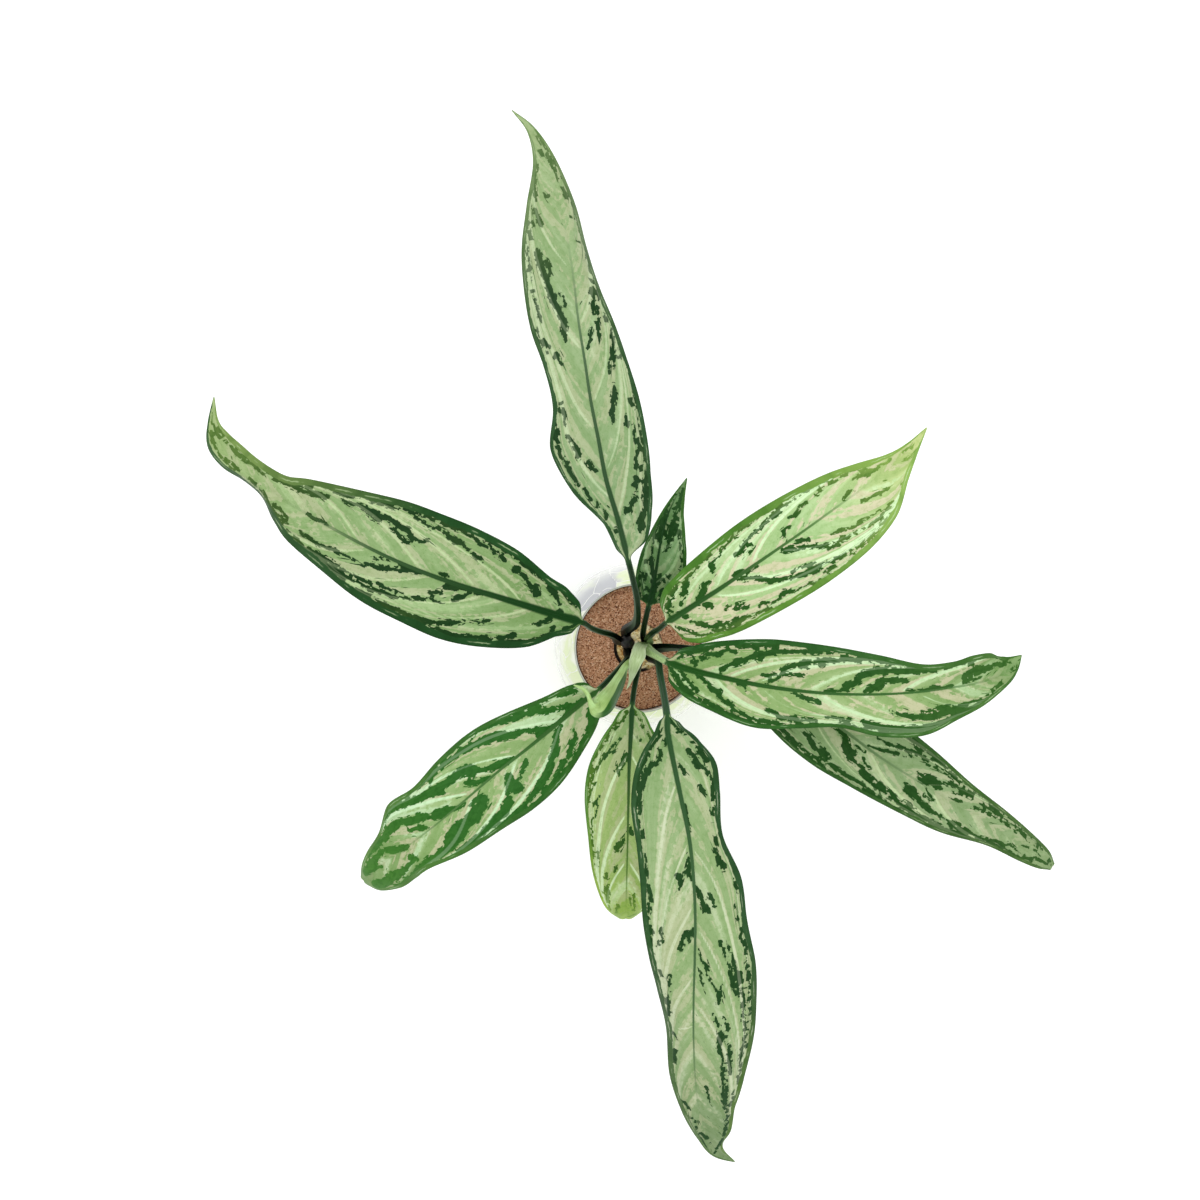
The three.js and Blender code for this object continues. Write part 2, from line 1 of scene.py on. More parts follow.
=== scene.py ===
"""Looks of a potted Chinese evergreen.

Nine variegated leaves, a rolled new leaf and a bract grow from two canes. They stand in coarse
substrate, which a cork disc covers, in a round-bellied glazed planter.

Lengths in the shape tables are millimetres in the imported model's own frame: the origin is the centre of
the planter's underside, +Z is up and +Y points to the top of the picture. They become metres only when a
mesh is made. A place on a blade is its share of the way from base to tip, and its fraction of the half
blade: 0 on the midrib, 1 on the left margin and -1 on the right one, seen from above.
"""

import logging
import math
from dataclasses import dataclass
from typing import Any, Callable, Sequence, TypeAlias

import bpy
import numpy as np
import numpy.typing as npt
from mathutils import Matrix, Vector


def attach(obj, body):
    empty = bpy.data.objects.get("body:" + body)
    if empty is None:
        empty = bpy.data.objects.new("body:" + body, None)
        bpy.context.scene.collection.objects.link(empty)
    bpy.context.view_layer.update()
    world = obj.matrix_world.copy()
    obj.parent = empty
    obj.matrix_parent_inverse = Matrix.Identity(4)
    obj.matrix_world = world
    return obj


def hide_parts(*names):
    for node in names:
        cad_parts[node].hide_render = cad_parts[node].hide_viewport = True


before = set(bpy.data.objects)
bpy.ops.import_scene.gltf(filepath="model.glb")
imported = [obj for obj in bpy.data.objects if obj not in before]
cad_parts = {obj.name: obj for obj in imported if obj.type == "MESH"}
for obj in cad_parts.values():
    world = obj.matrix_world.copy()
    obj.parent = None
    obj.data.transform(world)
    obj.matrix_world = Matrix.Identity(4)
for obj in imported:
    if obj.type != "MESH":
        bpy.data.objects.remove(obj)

Array = npt.NDArray[np.float64]
Whole = npt.NDArray[np.int64]
Colour = tuple[float, float, float]
Point = tuple[float, float, float]
Marks = tuple[tuple[int, ...], ...]
Piece = bpy.types.Object
Material = bpy.types.Material

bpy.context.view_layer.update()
MM = 0.001
LOG = logging.getLogger("evergreen")

# How much brighter the light is than one that shows a white floor as just white
LIGHT_LEVEL = 1.27
# Points that a curve is walked in, to space rows evenly along it
FINE_STEPS = 800
# Directions that the sideways ones are found from
ABOVE = (0.0, 0.0, 1.0)
NORTH = (0.0, 1.0, 0.0)
# Course of a lateral vein: how steeply it leaves the midrib, and the fraction that it never reaches
VEIN_LEAN = 1.6
VEIN_END = 1.15
# Thousandths along, hundredths across and tenths of a millimetre, in which marks are given
MARK_UNITS = (1000, 100, 10)
# Depth in a mark, in millimetres, of a place that no mark is near
FAR_OUTSIDE = -6.0


# Curves and grids


def smooth_curve(points: Array, index: Array, slope: bool = False) -> Array:
    """Reads a uniform Catmull-Rom curve, whose index advances by one from point to point.

    Between two points it is the cubic with their places and with half the step between their
    neighbours as slopes; past each end the curve's neighbour is mirrored through the end point.

    Args:
        points: one row a point.
        index: where to read, 0 at the first point.
        slope: whether to give the slope instead of the place.

    Returns:
        One row for each index.
    """
    table = np.asarray(points, float)
    padded = np.vstack([2 * table[0] - table[1], table, 2 * table[-1] - table[-2]])
    place = np.clip(index, 0, len(table) - 1)
    step = np.minimum(place.astype(int), len(table) - 2)
    t = (place - step)[:, None]
    before, start, end, after = (padded[step + k] for k in range(4))
    leave, arrive = (end - before) / 2, (after - start) / 2
    square = 3 * (end - start) - 2 * leave - arrive
    cube = 2 * (start - end) + leave + arrive
    if slope:
        return leave + 2 * square * t + 3 * cube * t**2
    return start + leave * t + square * t**2 + cube * t**3


def unit(vectors: Array) -> Array:
    """Gives the vectors at length one."""
    return vectors / np.linalg.norm(vectors, axis=-1, keepdims=True)


def smooth_step(low: float, high: float, value: Array) -> Array:
    """Rises smoothly from 0 at low to 1 at high."""
    t = np.clip((value - low) / (high - low), 0, 1)
    return t * t * (3 - 2 * t)


def even_index(points: Array, first: float, last: float, spacing: float) -> Array:
    """Indexes along a smooth curve that lie a steady distance apart.

    Args:
        points: the curve's points.
        first: index to begin at.
        last: index to end at.
        spacing: distance wanted between neighbours.

    Returns:
        The indexes, both ends included.
    """
    fine = np.linspace(first, last, FINE_STEPS)
    walk = arc_length(smooth_curve(points, fine))
    count = max(4, math.ceil(walk[-1] / spacing))
    return np.interp(np.linspace(0, walk[-1], count + 1), walk, fine)


def arc_length(points: Array) -> Array:
    """Distance walked along a line of points, 0 at the first."""
    steps = np.linalg.norm(np.diff(points, axis=0), axis=1)
    return np.concatenate([[0.0], np.cumsum(steps)])


def value_noise(places: Array, seed: int) -> Array:
    """Smooth noise from -1 to 1 that changes over about one unit.

    Each whole-number corner has a random value from a hash of its coordinates, and a place reads its
    surrounding corners blended by smooth steps.

    Args:
        places: coordinates, one row a place, with two or three columns.
        seed: which noise.

    Returns:
        One value for each place.
    """
    cell = np.floor(places).astype(np.int64)
    t = places - cell
    t = t * t * (3 - 2 * t)
    total = np.zeros(len(places))
    for corner in np.ndindex(*(2,) * places.shape[1]):
        offset = np.array(corner)
        weight = np.prod(np.where(offset == 1, t, 1 - t), axis=1)
        total += weight * hashed(cell + offset, seed)
    return total


def hashed(cells: Whole, seed: int) -> Array:
    """Gives each row of whole numbers a fixed random value.

    Args:
        cells: the rows.
        seed: which values.

    Returns:
        One value from -1 to 1 for each row.
    """
    mixed = np.full(len(cells), (seed * 2654435761) & 0xFFFFFFFF, dtype=np.uint64)
    for column in cells.T:
        mixed ^= column.astype(np.uint64) & np.uint64(0xFFFFFFFF)
        mixed = (mixed * np.uint64(0x9E3779B1)) & np.uint64(0xFFFFFFFF)
        mixed ^= mixed >> np.uint64(15)
        mixed = (mixed * np.uint64(0x85EBCA77)) & np.uint64(0xFFFFFFFF)
        mixed ^= mixed >> np.uint64(13)
    return mixed.astype(float) / 0x7FFFFFFF - 1.0


def follow(stations: Sequence[Sequence[float]], spacing: float) -> tuple[Array, Array, Array, Array]:
    """Spaces rows along the smooth curve through some stations.

    Args:
        stations: a place and then its sizes, one row each.
        spacing: distance between rows.

    Returns:
        The index along the stations, the place, the direction and the sizes at each row.
    """
    table = np.array(stations, float)
    index = even_index(table[:, :3], 0.0, len(table) - 1.0, spacing)
    rows = smooth_curve(table, index)
    return index, rows[:, :3], unit(smooth_curve(table[:, :3], index, slope=True)), rows[:, 3:]


def offset_points(centre: Array, side: Array, over: Array, out: Array, up: Array) -> Array:
    """Points that lie so far out sideways and up from each row's centre, rows by columns by three."""
    return centre[:, None] + side[:, None] * out[..., None] + over[:, None] * up[..., None]


def turn_section(section: Array, columns: int) -> tuple[Array, Array, Array]:
    """Repeats a section round +Z.

    Args:
        section: radius and height, one row a point.
        columns: how many times it is repeated.

    Returns:
        Angle, radius and height of each point, rows by columns.
    """
    angle = np.linspace(0, 2 * np.pi, columns, endpoint=False)
    radius = np.repeat(section[:, :1], columns, axis=1)
    height = np.repeat(section[:, 1:], columns, axis=1)
    return np.broadcast_to(angle, radius.shape), radius, height


def round_points(angle: Array, radius: Array, height: Array) -> Array:
    """Points at an angle, a radius and a height about +Z."""
    return np.stack([radius * np.cos(angle), radius * np.sin(angle), height], axis=-1)


# Meshes


def tube_faces(rows: int, columns: int) -> Whole:
    """Quads of a grid whose columns close on themselves, row by row, facing out of the tube.

    Args:
        rows: rings of points.
        columns: points in each ring, which run anticlockwise seen from the tube's far end.

    Returns:
        One row of four corners a quad.
    """
    ring = np.arange(columns)
    following = (ring + 1) % columns
    start = (np.arange(rows - 1) * columns)[:, None]
    corners = [start + ring, start + following, start + following + columns, start + ring + columns]
    return np.stack(corners, axis=-1).reshape(-1, 4)


def close_ends(points: Array, fields: list[Array]) -> tuple[Array, Whole, list[Array]]:
    """Closes the first and last ring of a tube with a fan round its middle.

    Args:
        points: rings of points.
        fields: values at the points, three each.

    Returns:
        Flat points, the fans' triangles, and flat fields, each with two entries more.
    """
    rows, columns = points.shape[:2]
    sheets = [points, *fields]
    ends = [np.stack([values[0].mean(axis=0), values[-1].mean(axis=0)]) for values in sheets]
    joined = [np.concatenate([values.reshape(-1, 3), end]) for values, end in zip(sheets, ends)]
    ring = np.arange(columns)
    after = (ring + 1) % columns
    base = (rows - 1) * columns
    first = np.stack([np.full(columns, rows * columns), after, ring], axis=1)
    last = np.stack([np.full(columns, rows * columns + 1), base + ring, base + after], axis=1)
    return joined[0], np.concatenate([first, last]), joined[1:]


def make_piece(
    name: str,
    points: Array,
    quads: Whole,
    triangles: Whole | None = None,
    fields: dict[str, Array] | None = None,
    materials: Sequence[Material] = (),
    material_index: Array | None = None,
) -> Piece:
    """Makes a smooth-shaded mesh object at the origin.

    Args:
        name: the piece's name.
        points: corners in millimetres.
        quads: four corners a row.
        triangles: three corners a row, after the quads.
        fields: values at each corner, one number or three, by attribute name.
        materials: the piece's finishes, in slot order.
        material_index: slot of each face, quads first.

    Returns:
        The object, linked to the scene.
    """
    triangles = np.zeros((0, 3), np.int64) if triangles is None else triangles
    mesh = bpy.data.meshes.new(name)
    mesh.vertices.add(len(points))
    mesh.vertices.foreach_set("co", (points * MM).astype(np.float32).ravel())
    loops = np.concatenate([quads.ravel(), triangles.ravel()])
    sizes = np.concatenate([np.full(len(quads), 4), np.full(len(triangles), 3)])
    mesh.loops.add(len(loops))
    mesh.loops.foreach_set("vertex_index", loops.astype(np.int32))
    mesh.polygons.add(len(sizes))
    starts = np.concatenate([[0], np.cumsum(sizes)[:-1]])
    mesh.polygons.foreach_set("loop_start", starts.astype(np.int32))
    if material_index is not None:
        mesh.polygons.foreach_set("material_index", material_index.astype(np.int32))
    mesh.update(calc_edges=True)
    mesh.validate()
    mesh.shade_smooth()
    for label, values in (fields or {}).items():
        whole = values.ndim == 2
        layer = mesh.attributes.new(label, "FLOAT_VECTOR" if whole else "FLOAT", "POINT")
        layer.data.foreach_set("vector" if whole else "value", values.astype(np.float32).ravel())
    for material in materials:
        mesh.materials.append(material)
    piece = bpy.data.objects.new(name, mesh)
    bpy.context.scene.collection.objects.link(piece)
    return piece


def hand_in(piece: Piece, slot: str, *nodes: str) -> None:
    """Puts a finished piece on the one body, in place of CAD nodes, which it hides.

    Args:
        piece: the finished object.
        slot: not used.
        nodes: the nodes that it replaces.
    """
    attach(piece, "root")
    if nodes:
        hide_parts(*nodes)
    LOG.info("%s: %d faces", piece.name, len(piece.data.polygons))


@dataclass
class Part:
    """One piece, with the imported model's node that it replaces and its material slot."""

    name: str
    node: str
    slot: str

    def paint(self) -> Material:
        """Makes the piece's finish; each kind of part has its own."""
        raise NotImplementedError

    def close_tube(self, points: Array, fields: dict[str, Array]) -> Piece:
        """Makes a closed piece of rings of points and puts it in place of its CAD node.

        Args:
            points: the rings, rows by columns by three.
            fields: three values at each point, by attribute name.

        Returns:
            The finished piece.
        """
        flat, caps, values = close_ends(points, list(fields.values()))
        quads = tube_faces(*points.shape[:2])
        piece = make_piece(self.name, flat, quads, caps, dict(zip(fields, values)), (self.paint(),))
        hand_in(piece, self.slot, self.node)
        return piece


# Shader expressions


Operand: TypeAlias = "Socket | float"
Tint: TypeAlias = "Socket | Colour"


def operator(operation: str, swapped: bool = False) -> Callable[["Socket", Operand], "Socket"]:
    """Makes an operator of shader expressions.

    Args:
        operation: the Math node's operation.
        swapped: whether the operands change places.

    Returns:
        The method that adds the node.
    """

    def method(self: "Socket", other: Operand) -> "Socket":
        """Adds the Math node over the socket and the other operand."""
        pair = (other, self) if swapped else (self, other)
        return self.painter.node("ShaderNodeMath", {"operation": operation}, dict(enumerate(pair)))

    return method


class Socket:
    """A shader output that takes part in expressions; each operator adds a Math node."""

    def __init__(self, painter: "Painter", output: bpy.types.NodeSocket) -> None:
        """Wraps an output of a node in the painter's material."""
        self.painter = painter
        self.output = output

    __add__ = __radd__ = operator("ADD")
    __sub__, __rsub__ = operator("SUBTRACT"), operator("SUBTRACT", swapped=True)
    __mul__ = __rmul__ = operator("MULTIPLY")
    __truediv__ = operator("DIVIDE")
    __pow__ = operator("POWER")
    most, least = operator("MAXIMUM"), operator("MINIMUM")

    def size(self) -> "Socket":
        """The value without its sign."""
        return self.painter.node("ShaderNodeMath", {"operation": "ABSOLUTE"}, {0: self})

    def rise(self, low: float, high: float) -> "Socket":
        """Rises smoothly from 0 at low to 1 at high; it falls instead where low is above high.

        Args:
            low: where the result is 0.
            high: where it is 1.

        Returns:
            The result, from 0 to 1.
        """
        falls = float(low > high)
        ends = {1: min(low, high), 2: max(low, high), 3: falls, 4: 1 - falls}
        settings = {"interpolation_type": "SMOOTHSTEP"}
        return self.painter.node("ShaderNodeMapRange", settings, {0: self, **ends})


class Painter:
    """Builds the node tree of one material."""

    def __init__(self, name: str) -> None:
        """Starts an empty material.

        Args:
            name: the material's name.
        """
        self.material = bpy.data.materials.new(name)
        self.material.use_nodes = True
        self.tree = self.material.node_tree
        self.tree.nodes.clear()

    def node(self, kind: str, settings: dict[str, Any] | None = None, inputs: dict[Any, Any] | None = None,
             out: Any = 0) -> Socket:
        """Adds a node.

        Args:
            kind: the node's type.
            settings: its own properties, set first.
            inputs: a value or a Socket for each input, by number or name.
            out: number or name of the output wanted.

        Returns:
            That output.
        """
        made = self.tree.nodes.new(kind)
        for label, value in (settings or {}).items():
            setattr(made, label, value)
        for label, value in (inputs or {}).items():
            if isinstance(value, Socket):
                self.tree.links.new(value.output, made.inputs[label])
            elif isinstance(value, tuple) and made.inputs[label].type == "RGBA":
                made.inputs[label].default_value = (*value, 1.0)[:4]
            else:
                made.inputs[label].default_value = value
        return Socket(self, made.outputs[out])

    def mix(self, factor: Operand, first: Tint, second: Tint) -> Socket:
        """Colour that goes from the first to the second as the factor goes from 0 to 1."""
        return self.node("ShaderNodeMix", {"data_type": "RGBA"}, {0: factor, 6: first, 7: second}, 2)

    def multiply(self, colour: Tint, other: Tint, factor: Operand = 1.0) -> Socket:
        """Colour multiplied by another."""
        settings = {"data_type": "RGBA", "blend_type": "MULTIPLY"}
        return self.node("ShaderNodeMix", settings, {0: factor, 6: colour, 7: other}, 2)

    def cover(self, colour: Tint, *layers: tuple[Operand, Tint]) -> Socket:
        """Colour with others laid over it in turn, each by its own factor from 0 to 1."""
        for factor, layer in layers:
            colour = self.mix(factor, colour, layer)
        return colour

    def shade(self, colour: Tint, *filters: tuple[Operand, Tint]) -> Socket:
        """Colour multiplied by others in turn, each by its own factor from 0 to 1."""
        for factor, tint in filters:
            colour = self.multiply(colour, tint, factor)
        return colour

    def parts(self, vector: Socket) -> tuple[Socket, Socket, Socket]:
        """The three numbers of a vector."""
        first = self.node("ShaderNodeSeparateXYZ", {}, {0: vector})
        second, third = (Socket(self, first.output.node.outputs[k]) for k in (1, 2))
        return first, second, third

    def field(self, name: str) -> tuple[Socket, Socket, Socket]:
        """The three numbers of a vector attribute of the piece."""
        return self.parts(self.node("ShaderNodeAttribute", {"attribute_name": name}, out="Vector"))

    def vector(self, x: Operand, y: Operand, z: Operand = 0.0) -> Socket:
        """A vector from three numbers."""
        return self.node("ShaderNodeCombineXYZ", {}, {0: x, 1: y, 2: z})

    def place(self) -> Socket:
        """The piece's own coordinates, in metres."""
        return self.node("ShaderNodeTexCoord", out="Object")

    def noise(self, vector: Socket, scale: float, detail: float = 2.0, roughness: float = 0.5) -> Socket:
        """Noise from 0 to 1 round 0.5, with so many cycles a unit."""
        inputs = {"Vector": vector, "Scale": scale, "Detail": detail, "Roughness": roughness}
        return self.node("ShaderNodeTexNoise", {}, inputs)

    def pattern(self, x: Socket, y: Socket, z: float = 0.0, detail: float = 2.0) -> Socket:
        """Noise from 0 to 1 over three numbers, one cycle a unit."""
        return self.noise(self.vector(x, y, z), 1.0, detail)

    def from_axis(self, place: Socket) -> Socket:
        """Distance of a place from the upright axis."""
        level = self.multiply(place, (1, 1, 0))
        return self.node("ShaderNodeVectorMath", {"operation": "LENGTH"}, {0: level}, 1)

    def cells(self, vector: Socket, scale: float, settings: dict[str, Any], out: str) -> Socket:
        """Voronoi cells with so many a unit."""
        return self.node("ShaderNodeTexVoronoi", settings, {"Vector": vector, "Scale": scale}, out)

    def bump(self, height: Socket, distance: float, strength: float = 1.0,
             normal: Socket | None = None) -> Socket:
        """Tilts the surface normal by a height.

        Args:
            height: the height, from 0 to 1.
            distance: what 1 stands for, in metres.
            strength: how much of the tilt shows.
            normal: the normal that is tilted, if not the surface's own.

        Returns:
            The tilted normal.
        """
        inputs: dict[str, Any] = {"Height": height, "Distance": distance, "Strength": strength}
        if normal is not None:
            inputs["Normal"] = normal
        return self.node("ShaderNodeBump", {}, inputs)

    def finish(self, colour: Tint, roughness: Operand, normal: Socket | None = None,
               **constants: Any) -> Material:
        """Joins the colours and bumps to the surface.

        Args:
            colour: base colour.
            roughness: roughness.
            normal: surface normal, if it is tilted.
            constants: other inputs of the surface by name, with _ for a space, the same all over.

        Returns:
            The finished material.
        """
        inputs: dict[str, Any] = {"Base Color": colour, "Roughness": roughness}
        inputs |= {label.replace("_", " "): value for label, value in constants.items()}
        if normal is not None:
            inputs["Normal"] = normal
        surface = self.node("ShaderNodeBsdfPrincipled", {}, inputs)
        output = self.tree.nodes.new("ShaderNodeOutputMaterial")
        self.tree.links.new(surface.output, output.inputs["Surface"])
        return self.material


def rgb(red: int, green: int, blue: int) -> Colour:
    """Linear colour of a surface that shows these screen values, 0 to 255, under the studio's light."""
    shares = (value / 255 for value in (red, green, blue))
    lit = (share / 12.92 if share <= 0.04045 else ((share + 0.055) / 1.055) ** 2.4 for share in shares)
    return tuple(value / LIGHT_LEVEL for value in lit)


# Leaves


@dataclass(frozen=True)
class LeafShape:
    """Where one leaf runs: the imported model's stations, moved a little to follow the picture's outline.

    The root is the stalk's foot, the stalk's points lead from it to the blade, and the sheath is the
    stalk's radius at its foot. The blade's rows hold the midrib's place, how far the left and right
    halves reach out, and how far each margin stands above the midrib. The wave holds the height, the
    number and the shift of the margin's waves, and the wing the height of the sheath's edges.
    """

    root: Point
    stalk: tuple[Point, ...]
    sheath: float
    blade: tuple[tuple[float, ...], ...]
    wave: tuple[float, float, float]
    wing: float = 1.5

    def spine(self) -> Array:
        """The centre line's points, from the cane to the tip."""
        blade = [row[:3] for row in self.blade]
        return np.array([self.root, *self.stalk, *blade], float)

    def table(self, first: int, last: int) -> Array:
        """Some columns of the blade's rows."""
        return np.array([row[first:last] for row in self.blade], float)


@dataclass(frozen=True)
class LeafLook:
    """Colours and markings of one leaf.

    Where a colour changes along the blade, its values run from base to tip. A mark is a dark blotch: its
    place along in thousandths, across in hundredths of the half blade, and half-width in tenths of a
    millimetre, repeated for each point that its middle line passes. Veins are the places on the midrib,
    in percent, where the pale lateral veins leave it on the left and on the right. Scars are thin pale
    marks, given as the dark ones are. Sweep says how far the lateral veins bend forwards. The shares of
    cream, pale veins and darker patches say how strongly they show, and the edge tone how much the marks
    take their second colour near the margin. Verge and swell widen the broken line beside the margin and
    the marks, in millimetres. Sheen is the roughness, and gloss the strength of reflections.
    """

    slot: str
    ground: tuple[Colour, Colour, Colour]
    vein: Colour
    blotch: tuple[Colour, Colour]
    left_rim: tuple[Colour, Colour]
    right_rim: tuple[Colour, Colour]
    rim_width: tuple[float, float]
    midrib: tuple[Colour, Colour]
    midrib_fade: float
    veins: tuple[tuple[float, ...], tuple[float, ...]]
    marks: Marks
    scars: Marks = ()
    sweep: float = 1.2
    midrib_width: float = 1.0
    stalk: Colour = rgb(20, 50, 22)
    # Near black: painted shade where the stalks meet deep among the canes; a leaf with a pale foot gives its
    # own colour
    foot: Colour = rgb(8, 12, 8)
    cream: Colour = rgb(206, 204, 170)
    cream_share: float = 0.45
    edge_tone: float = 0.05
    patches: float = 0.6
    verge: float = -1.0
    swell: float = 0.1
    pale_share: float = 0.5
    sheen: float = 0.42
    gloss: float = 0.06


class LeafSkin:
    """The paint of one side of a leaf, over the fields that its mesh carries."""

    def __init__(self, name: str, look: LeafLook) -> None:
        """Starts the material and reads the fields.

        Args:
            name: the material's name.
            look: the leaf's colours and markings.
        """
        self.look = look
        self.paint = Painter(name)
        self.start, self.distance, self.margin = self.paint.field("vein_place")
        self.depth, self.pale, self.along = self.paint.field("markings")

    def with_stalk(self, blade: Socket, fibre: Socket) -> Socket:
        """Adds the stalk: streaked, with a painted sheen greying its edges, and the foot colour low down.

        Args:
            blade: the blade's colour.
            fibre: noise that is drawn out along the leaf.

        Returns:
            The colour of the whole side.
        """
        stalk = self.paint.cover(
            self.paint.multiply(self.look.stalk, (1.7, 1.55, 1.7), fibre.rise(0.3, 0.7) * 0.7),
            # Painted sheen: greyer towards the stalk's edges
            ((self.distance.size() * 0.42).rise(0.74, 0.98) * 0.45, rgb(120, 140, 118)),
            # The foot colour low down: painted shade near the canes, unless the leaf's foot is given a pale
            # colour of its own
            (self.along.rise(-0.5, -0.72) * 0.9, self.look.foot),
        )
        return self.paint.mix(self.along.rise(0.0, -0.04), blade, stalk)


class UnderSkin(LeafSkin):
    """The underside: dull and paler, with the markings showing through."""

    def dress(self) -> Material:
        """Paints the underside.

        Returns:
            The finish.
        """
        look, paint = self.look, self.paint
        grain = paint.pattern(self.start * 0.9, self.distance * 0.9)
        fibre = paint.pattern(self.start * 1.4, self.distance * 0.16)
        blade = paint.cover(
            look.ground[1],
            (0.35, rgb(150, 178, 112)),
            ((self.depth + (grain - 0.5) * 1.6).rise(-0.8, 0.6) * 0.55, look.blotch[0]),
            (self.pale * 0.5, rgb(176, 196, 130)),
            ((self.margin * 0.3).rise(1.0, 0.3) * 0.45, look.left_rim[0]),
            ((self.distance.size() * 0.35).rise(1.0, 0.5) * 0.6, rgb(140, 170, 96)),
        )
        relief = paint.bump(fibre + grain * 0.6, 0.0003, 0.5)
        return paint.finish(self.with_stalk(blade, fibre), grain * 0.1 + 0.52, relief)


class UpperSkin(LeafSkin):
    """The upper side: ground, pale veins, dark marks with stepped edges, rim and midrib."""

    def __init__(self, name: str, look: LeafLook, seed: int, length: float) -> None:
        """Lays out the noises.

        Args:
            name: the material's name.
            look: the leaf's colours and markings.
            seed: which noises.
            length: the blade's length in millimetres.
        """
        super().__init__(name, look)
        self.seed = seed
        self.walk = self.along * length
        self.side = self.distance.rise(-0.1, 0.1)
        flat = self.paint.vector(self.walk * 0.34, self.distance * 0.46)
        steps = self.paint.cells(flat, 1.0, {"distance": "CHEBYCHEV"}, "Color")
        self.ragged = self.paint.parts(steps)[0] - 0.5
        self.streak = self.paint.pattern(self.start * 0.07, self.distance * 0.03, seed, detail=3.0)
        self.grain = self.paint.pattern(self.walk * 0.8, self.distance * 0.8)
        self.fibre = self.paint.pattern(self.start * 0.5, self.distance * 0.12)
        self.mottle = self.paint.pattern(self.walk * 0.22, self.distance * 0.3, seed, detail=5.0)
        self.close = (self.margin * 0.1).rise(1.0, 0.3)
        self.core = (self.pale + (self.streak - 0.5) * 2.0).rise(0.4, 0.8) * self.pale.rise(0.3, 0.75)

    def ground(self) -> Socket:
        """Mixes the ground: cream streaks, mint patches and pale veins, then what darkens it.

        Returns:
            The colour between the dark marks.
        """
        look, paint, along, ragged = self.look, self.paint, self.along, self.ragged
        sheet = paint.pattern(self.start * 0.04, self.distance * 0.02, self.seed + 5)
        body = along.rise(1.0, 0.75)
        creamy = (self.streak + ragged * 0.1 + self.pale * 0.08 + self.close * 0.06).rise(0.5, 0.56)
        minty = (sheet + ragged * 0.08 + self.pale * 0.1).rise(0.56, 0.64)
        patch = (sheet + ragged * 0.03).rise(0.6, 0.4) * look.patches
        base, middle, tip = look.ground
        ground = paint.cover(base, (along.rise(0.02, 0.4), middle), (along.rise(0.55, 1.0), tip))
        ground = paint.cover(
            paint.multiply(ground, (0.74, 0.82, 0.68), patch),
            (creamy * body * look.cream_share, look.cream),
            (minty * body * look.pale_share * 0.7, look.vein),
            (self.core * (look.pale_share * 1.2), look.vein),
        )
        return paint.shade(
            ground,
            (self.mottle.rise(0.45, 0.68) * 0.8, (0.82, 0.88, 0.78)),
            (self.grain.rise(0.58, 0.7), (0.8, 0.87, 0.74)),
            (self.fibre.rise(0.45, 0.7) * 0.8, (0.9, 0.94, 0.88)),
        )

    def mark_depth(self) -> Socket:
        """Adds flecks, and a broken line beside the margin, to the typed marks, and steps their edges.

        Returns:
            How deep a place lies in a mark, in millimetres; below 0 outside.
        """
        paint, walk, ragged = self.paint, self.walk, self.ragged
        fleck = paint.pattern(self.start * 0.18, self.distance * 0.17, self.seed + 9)
        near = (fleck + self.close * 0.03 - 0.64) * 26.0 + self.depth.least(0.0) * 0.45 + ragged
        verge = paint.pattern(walk * 0.045, self.side * 5, self.seed, detail=3.0)
        spread = paint.pattern(walk * 0.07, self.side * 5, self.seed + 3)
        line = 1.5 - (self.margin - 5.2 - (verge - 0.5) * 14).size()
        line = line.least((spread - 0.5) * 18 + self.look.verge) + ragged * 0.8
        typed = self.depth + self.look.swell + ragged * 1.9 + (self.grain - 0.5) * 0.9
        return typed.most(near).most(line)

    def blotch(self) -> Socket:
        """Mixes the marks' green, which turns to its second colour near the tip and the margin.

        Returns:
            The colour inside the dark marks.
        """
        look, paint = self.look, self.paint
        cloud = paint.pattern(self.walk * 0.03, self.distance * 0.05, self.seed)
        tone = self.along.rise(0.45, 1.0) * 0.85 + self.close * look.edge_tone + (cloud - 0.5) * 0.5
        green = paint.shade(
            paint.mix(tone, *look.blotch),
            (self.fibre.rise(0.45, 0.7) * 0.5, (1.35, 1.25, 1.3)),
            (self.mottle.rise(0.48, 0.6) * 0.7, (0.66, 0.8, 0.64)),
        )
        return paint.mix(self.core * 0.16, green, look.vein)

    def with_rim(self, under: Socket) -> Socket:
        """Adds the dark band along the margins, with thin pale streaks in it.

        Args:
            under: the colour so far.

        Returns:
            The colour with the band.
        """
        look, paint, side = self.look, self.paint, self.side
        margin = self.margin + self.ragged * 0.5
        uneven = paint.pattern(self.walk * 0.05, side * 7, detail=4.0)
        broken = paint.pattern(self.walk * 0.05, side * 9 + 4, detail=4.0)
        wide_left, wide_right = look.rim_width
        width = (side * (wide_left - wide_right) + wide_right) * (uneven * 1.6 + 0.35)
        width = width.least((self.distance.size() + self.margin) * 0.3 + 0.2)
        thin = (margin / width - 0.6 + (uneven - 0.5) * 0.8).size().rise(0.11, 0.04) * broken.rise(0.5, 0.6)
        to_tip = self.along.rise(0.35, 0.95)
        left, right = paint.mix(to_tip, *look.left_rim), paint.mix(to_tip, *look.right_rim)
        rim = paint.multiply(paint.mix(side, right, left), (0.72, 0.8, 0.7), broken.rise(0.5, 0.42) * 0.8)
        return paint.mix((margin / width).rise(1.08, 0.96), under, paint.mix(thin * 0.4, rim, look.vein))

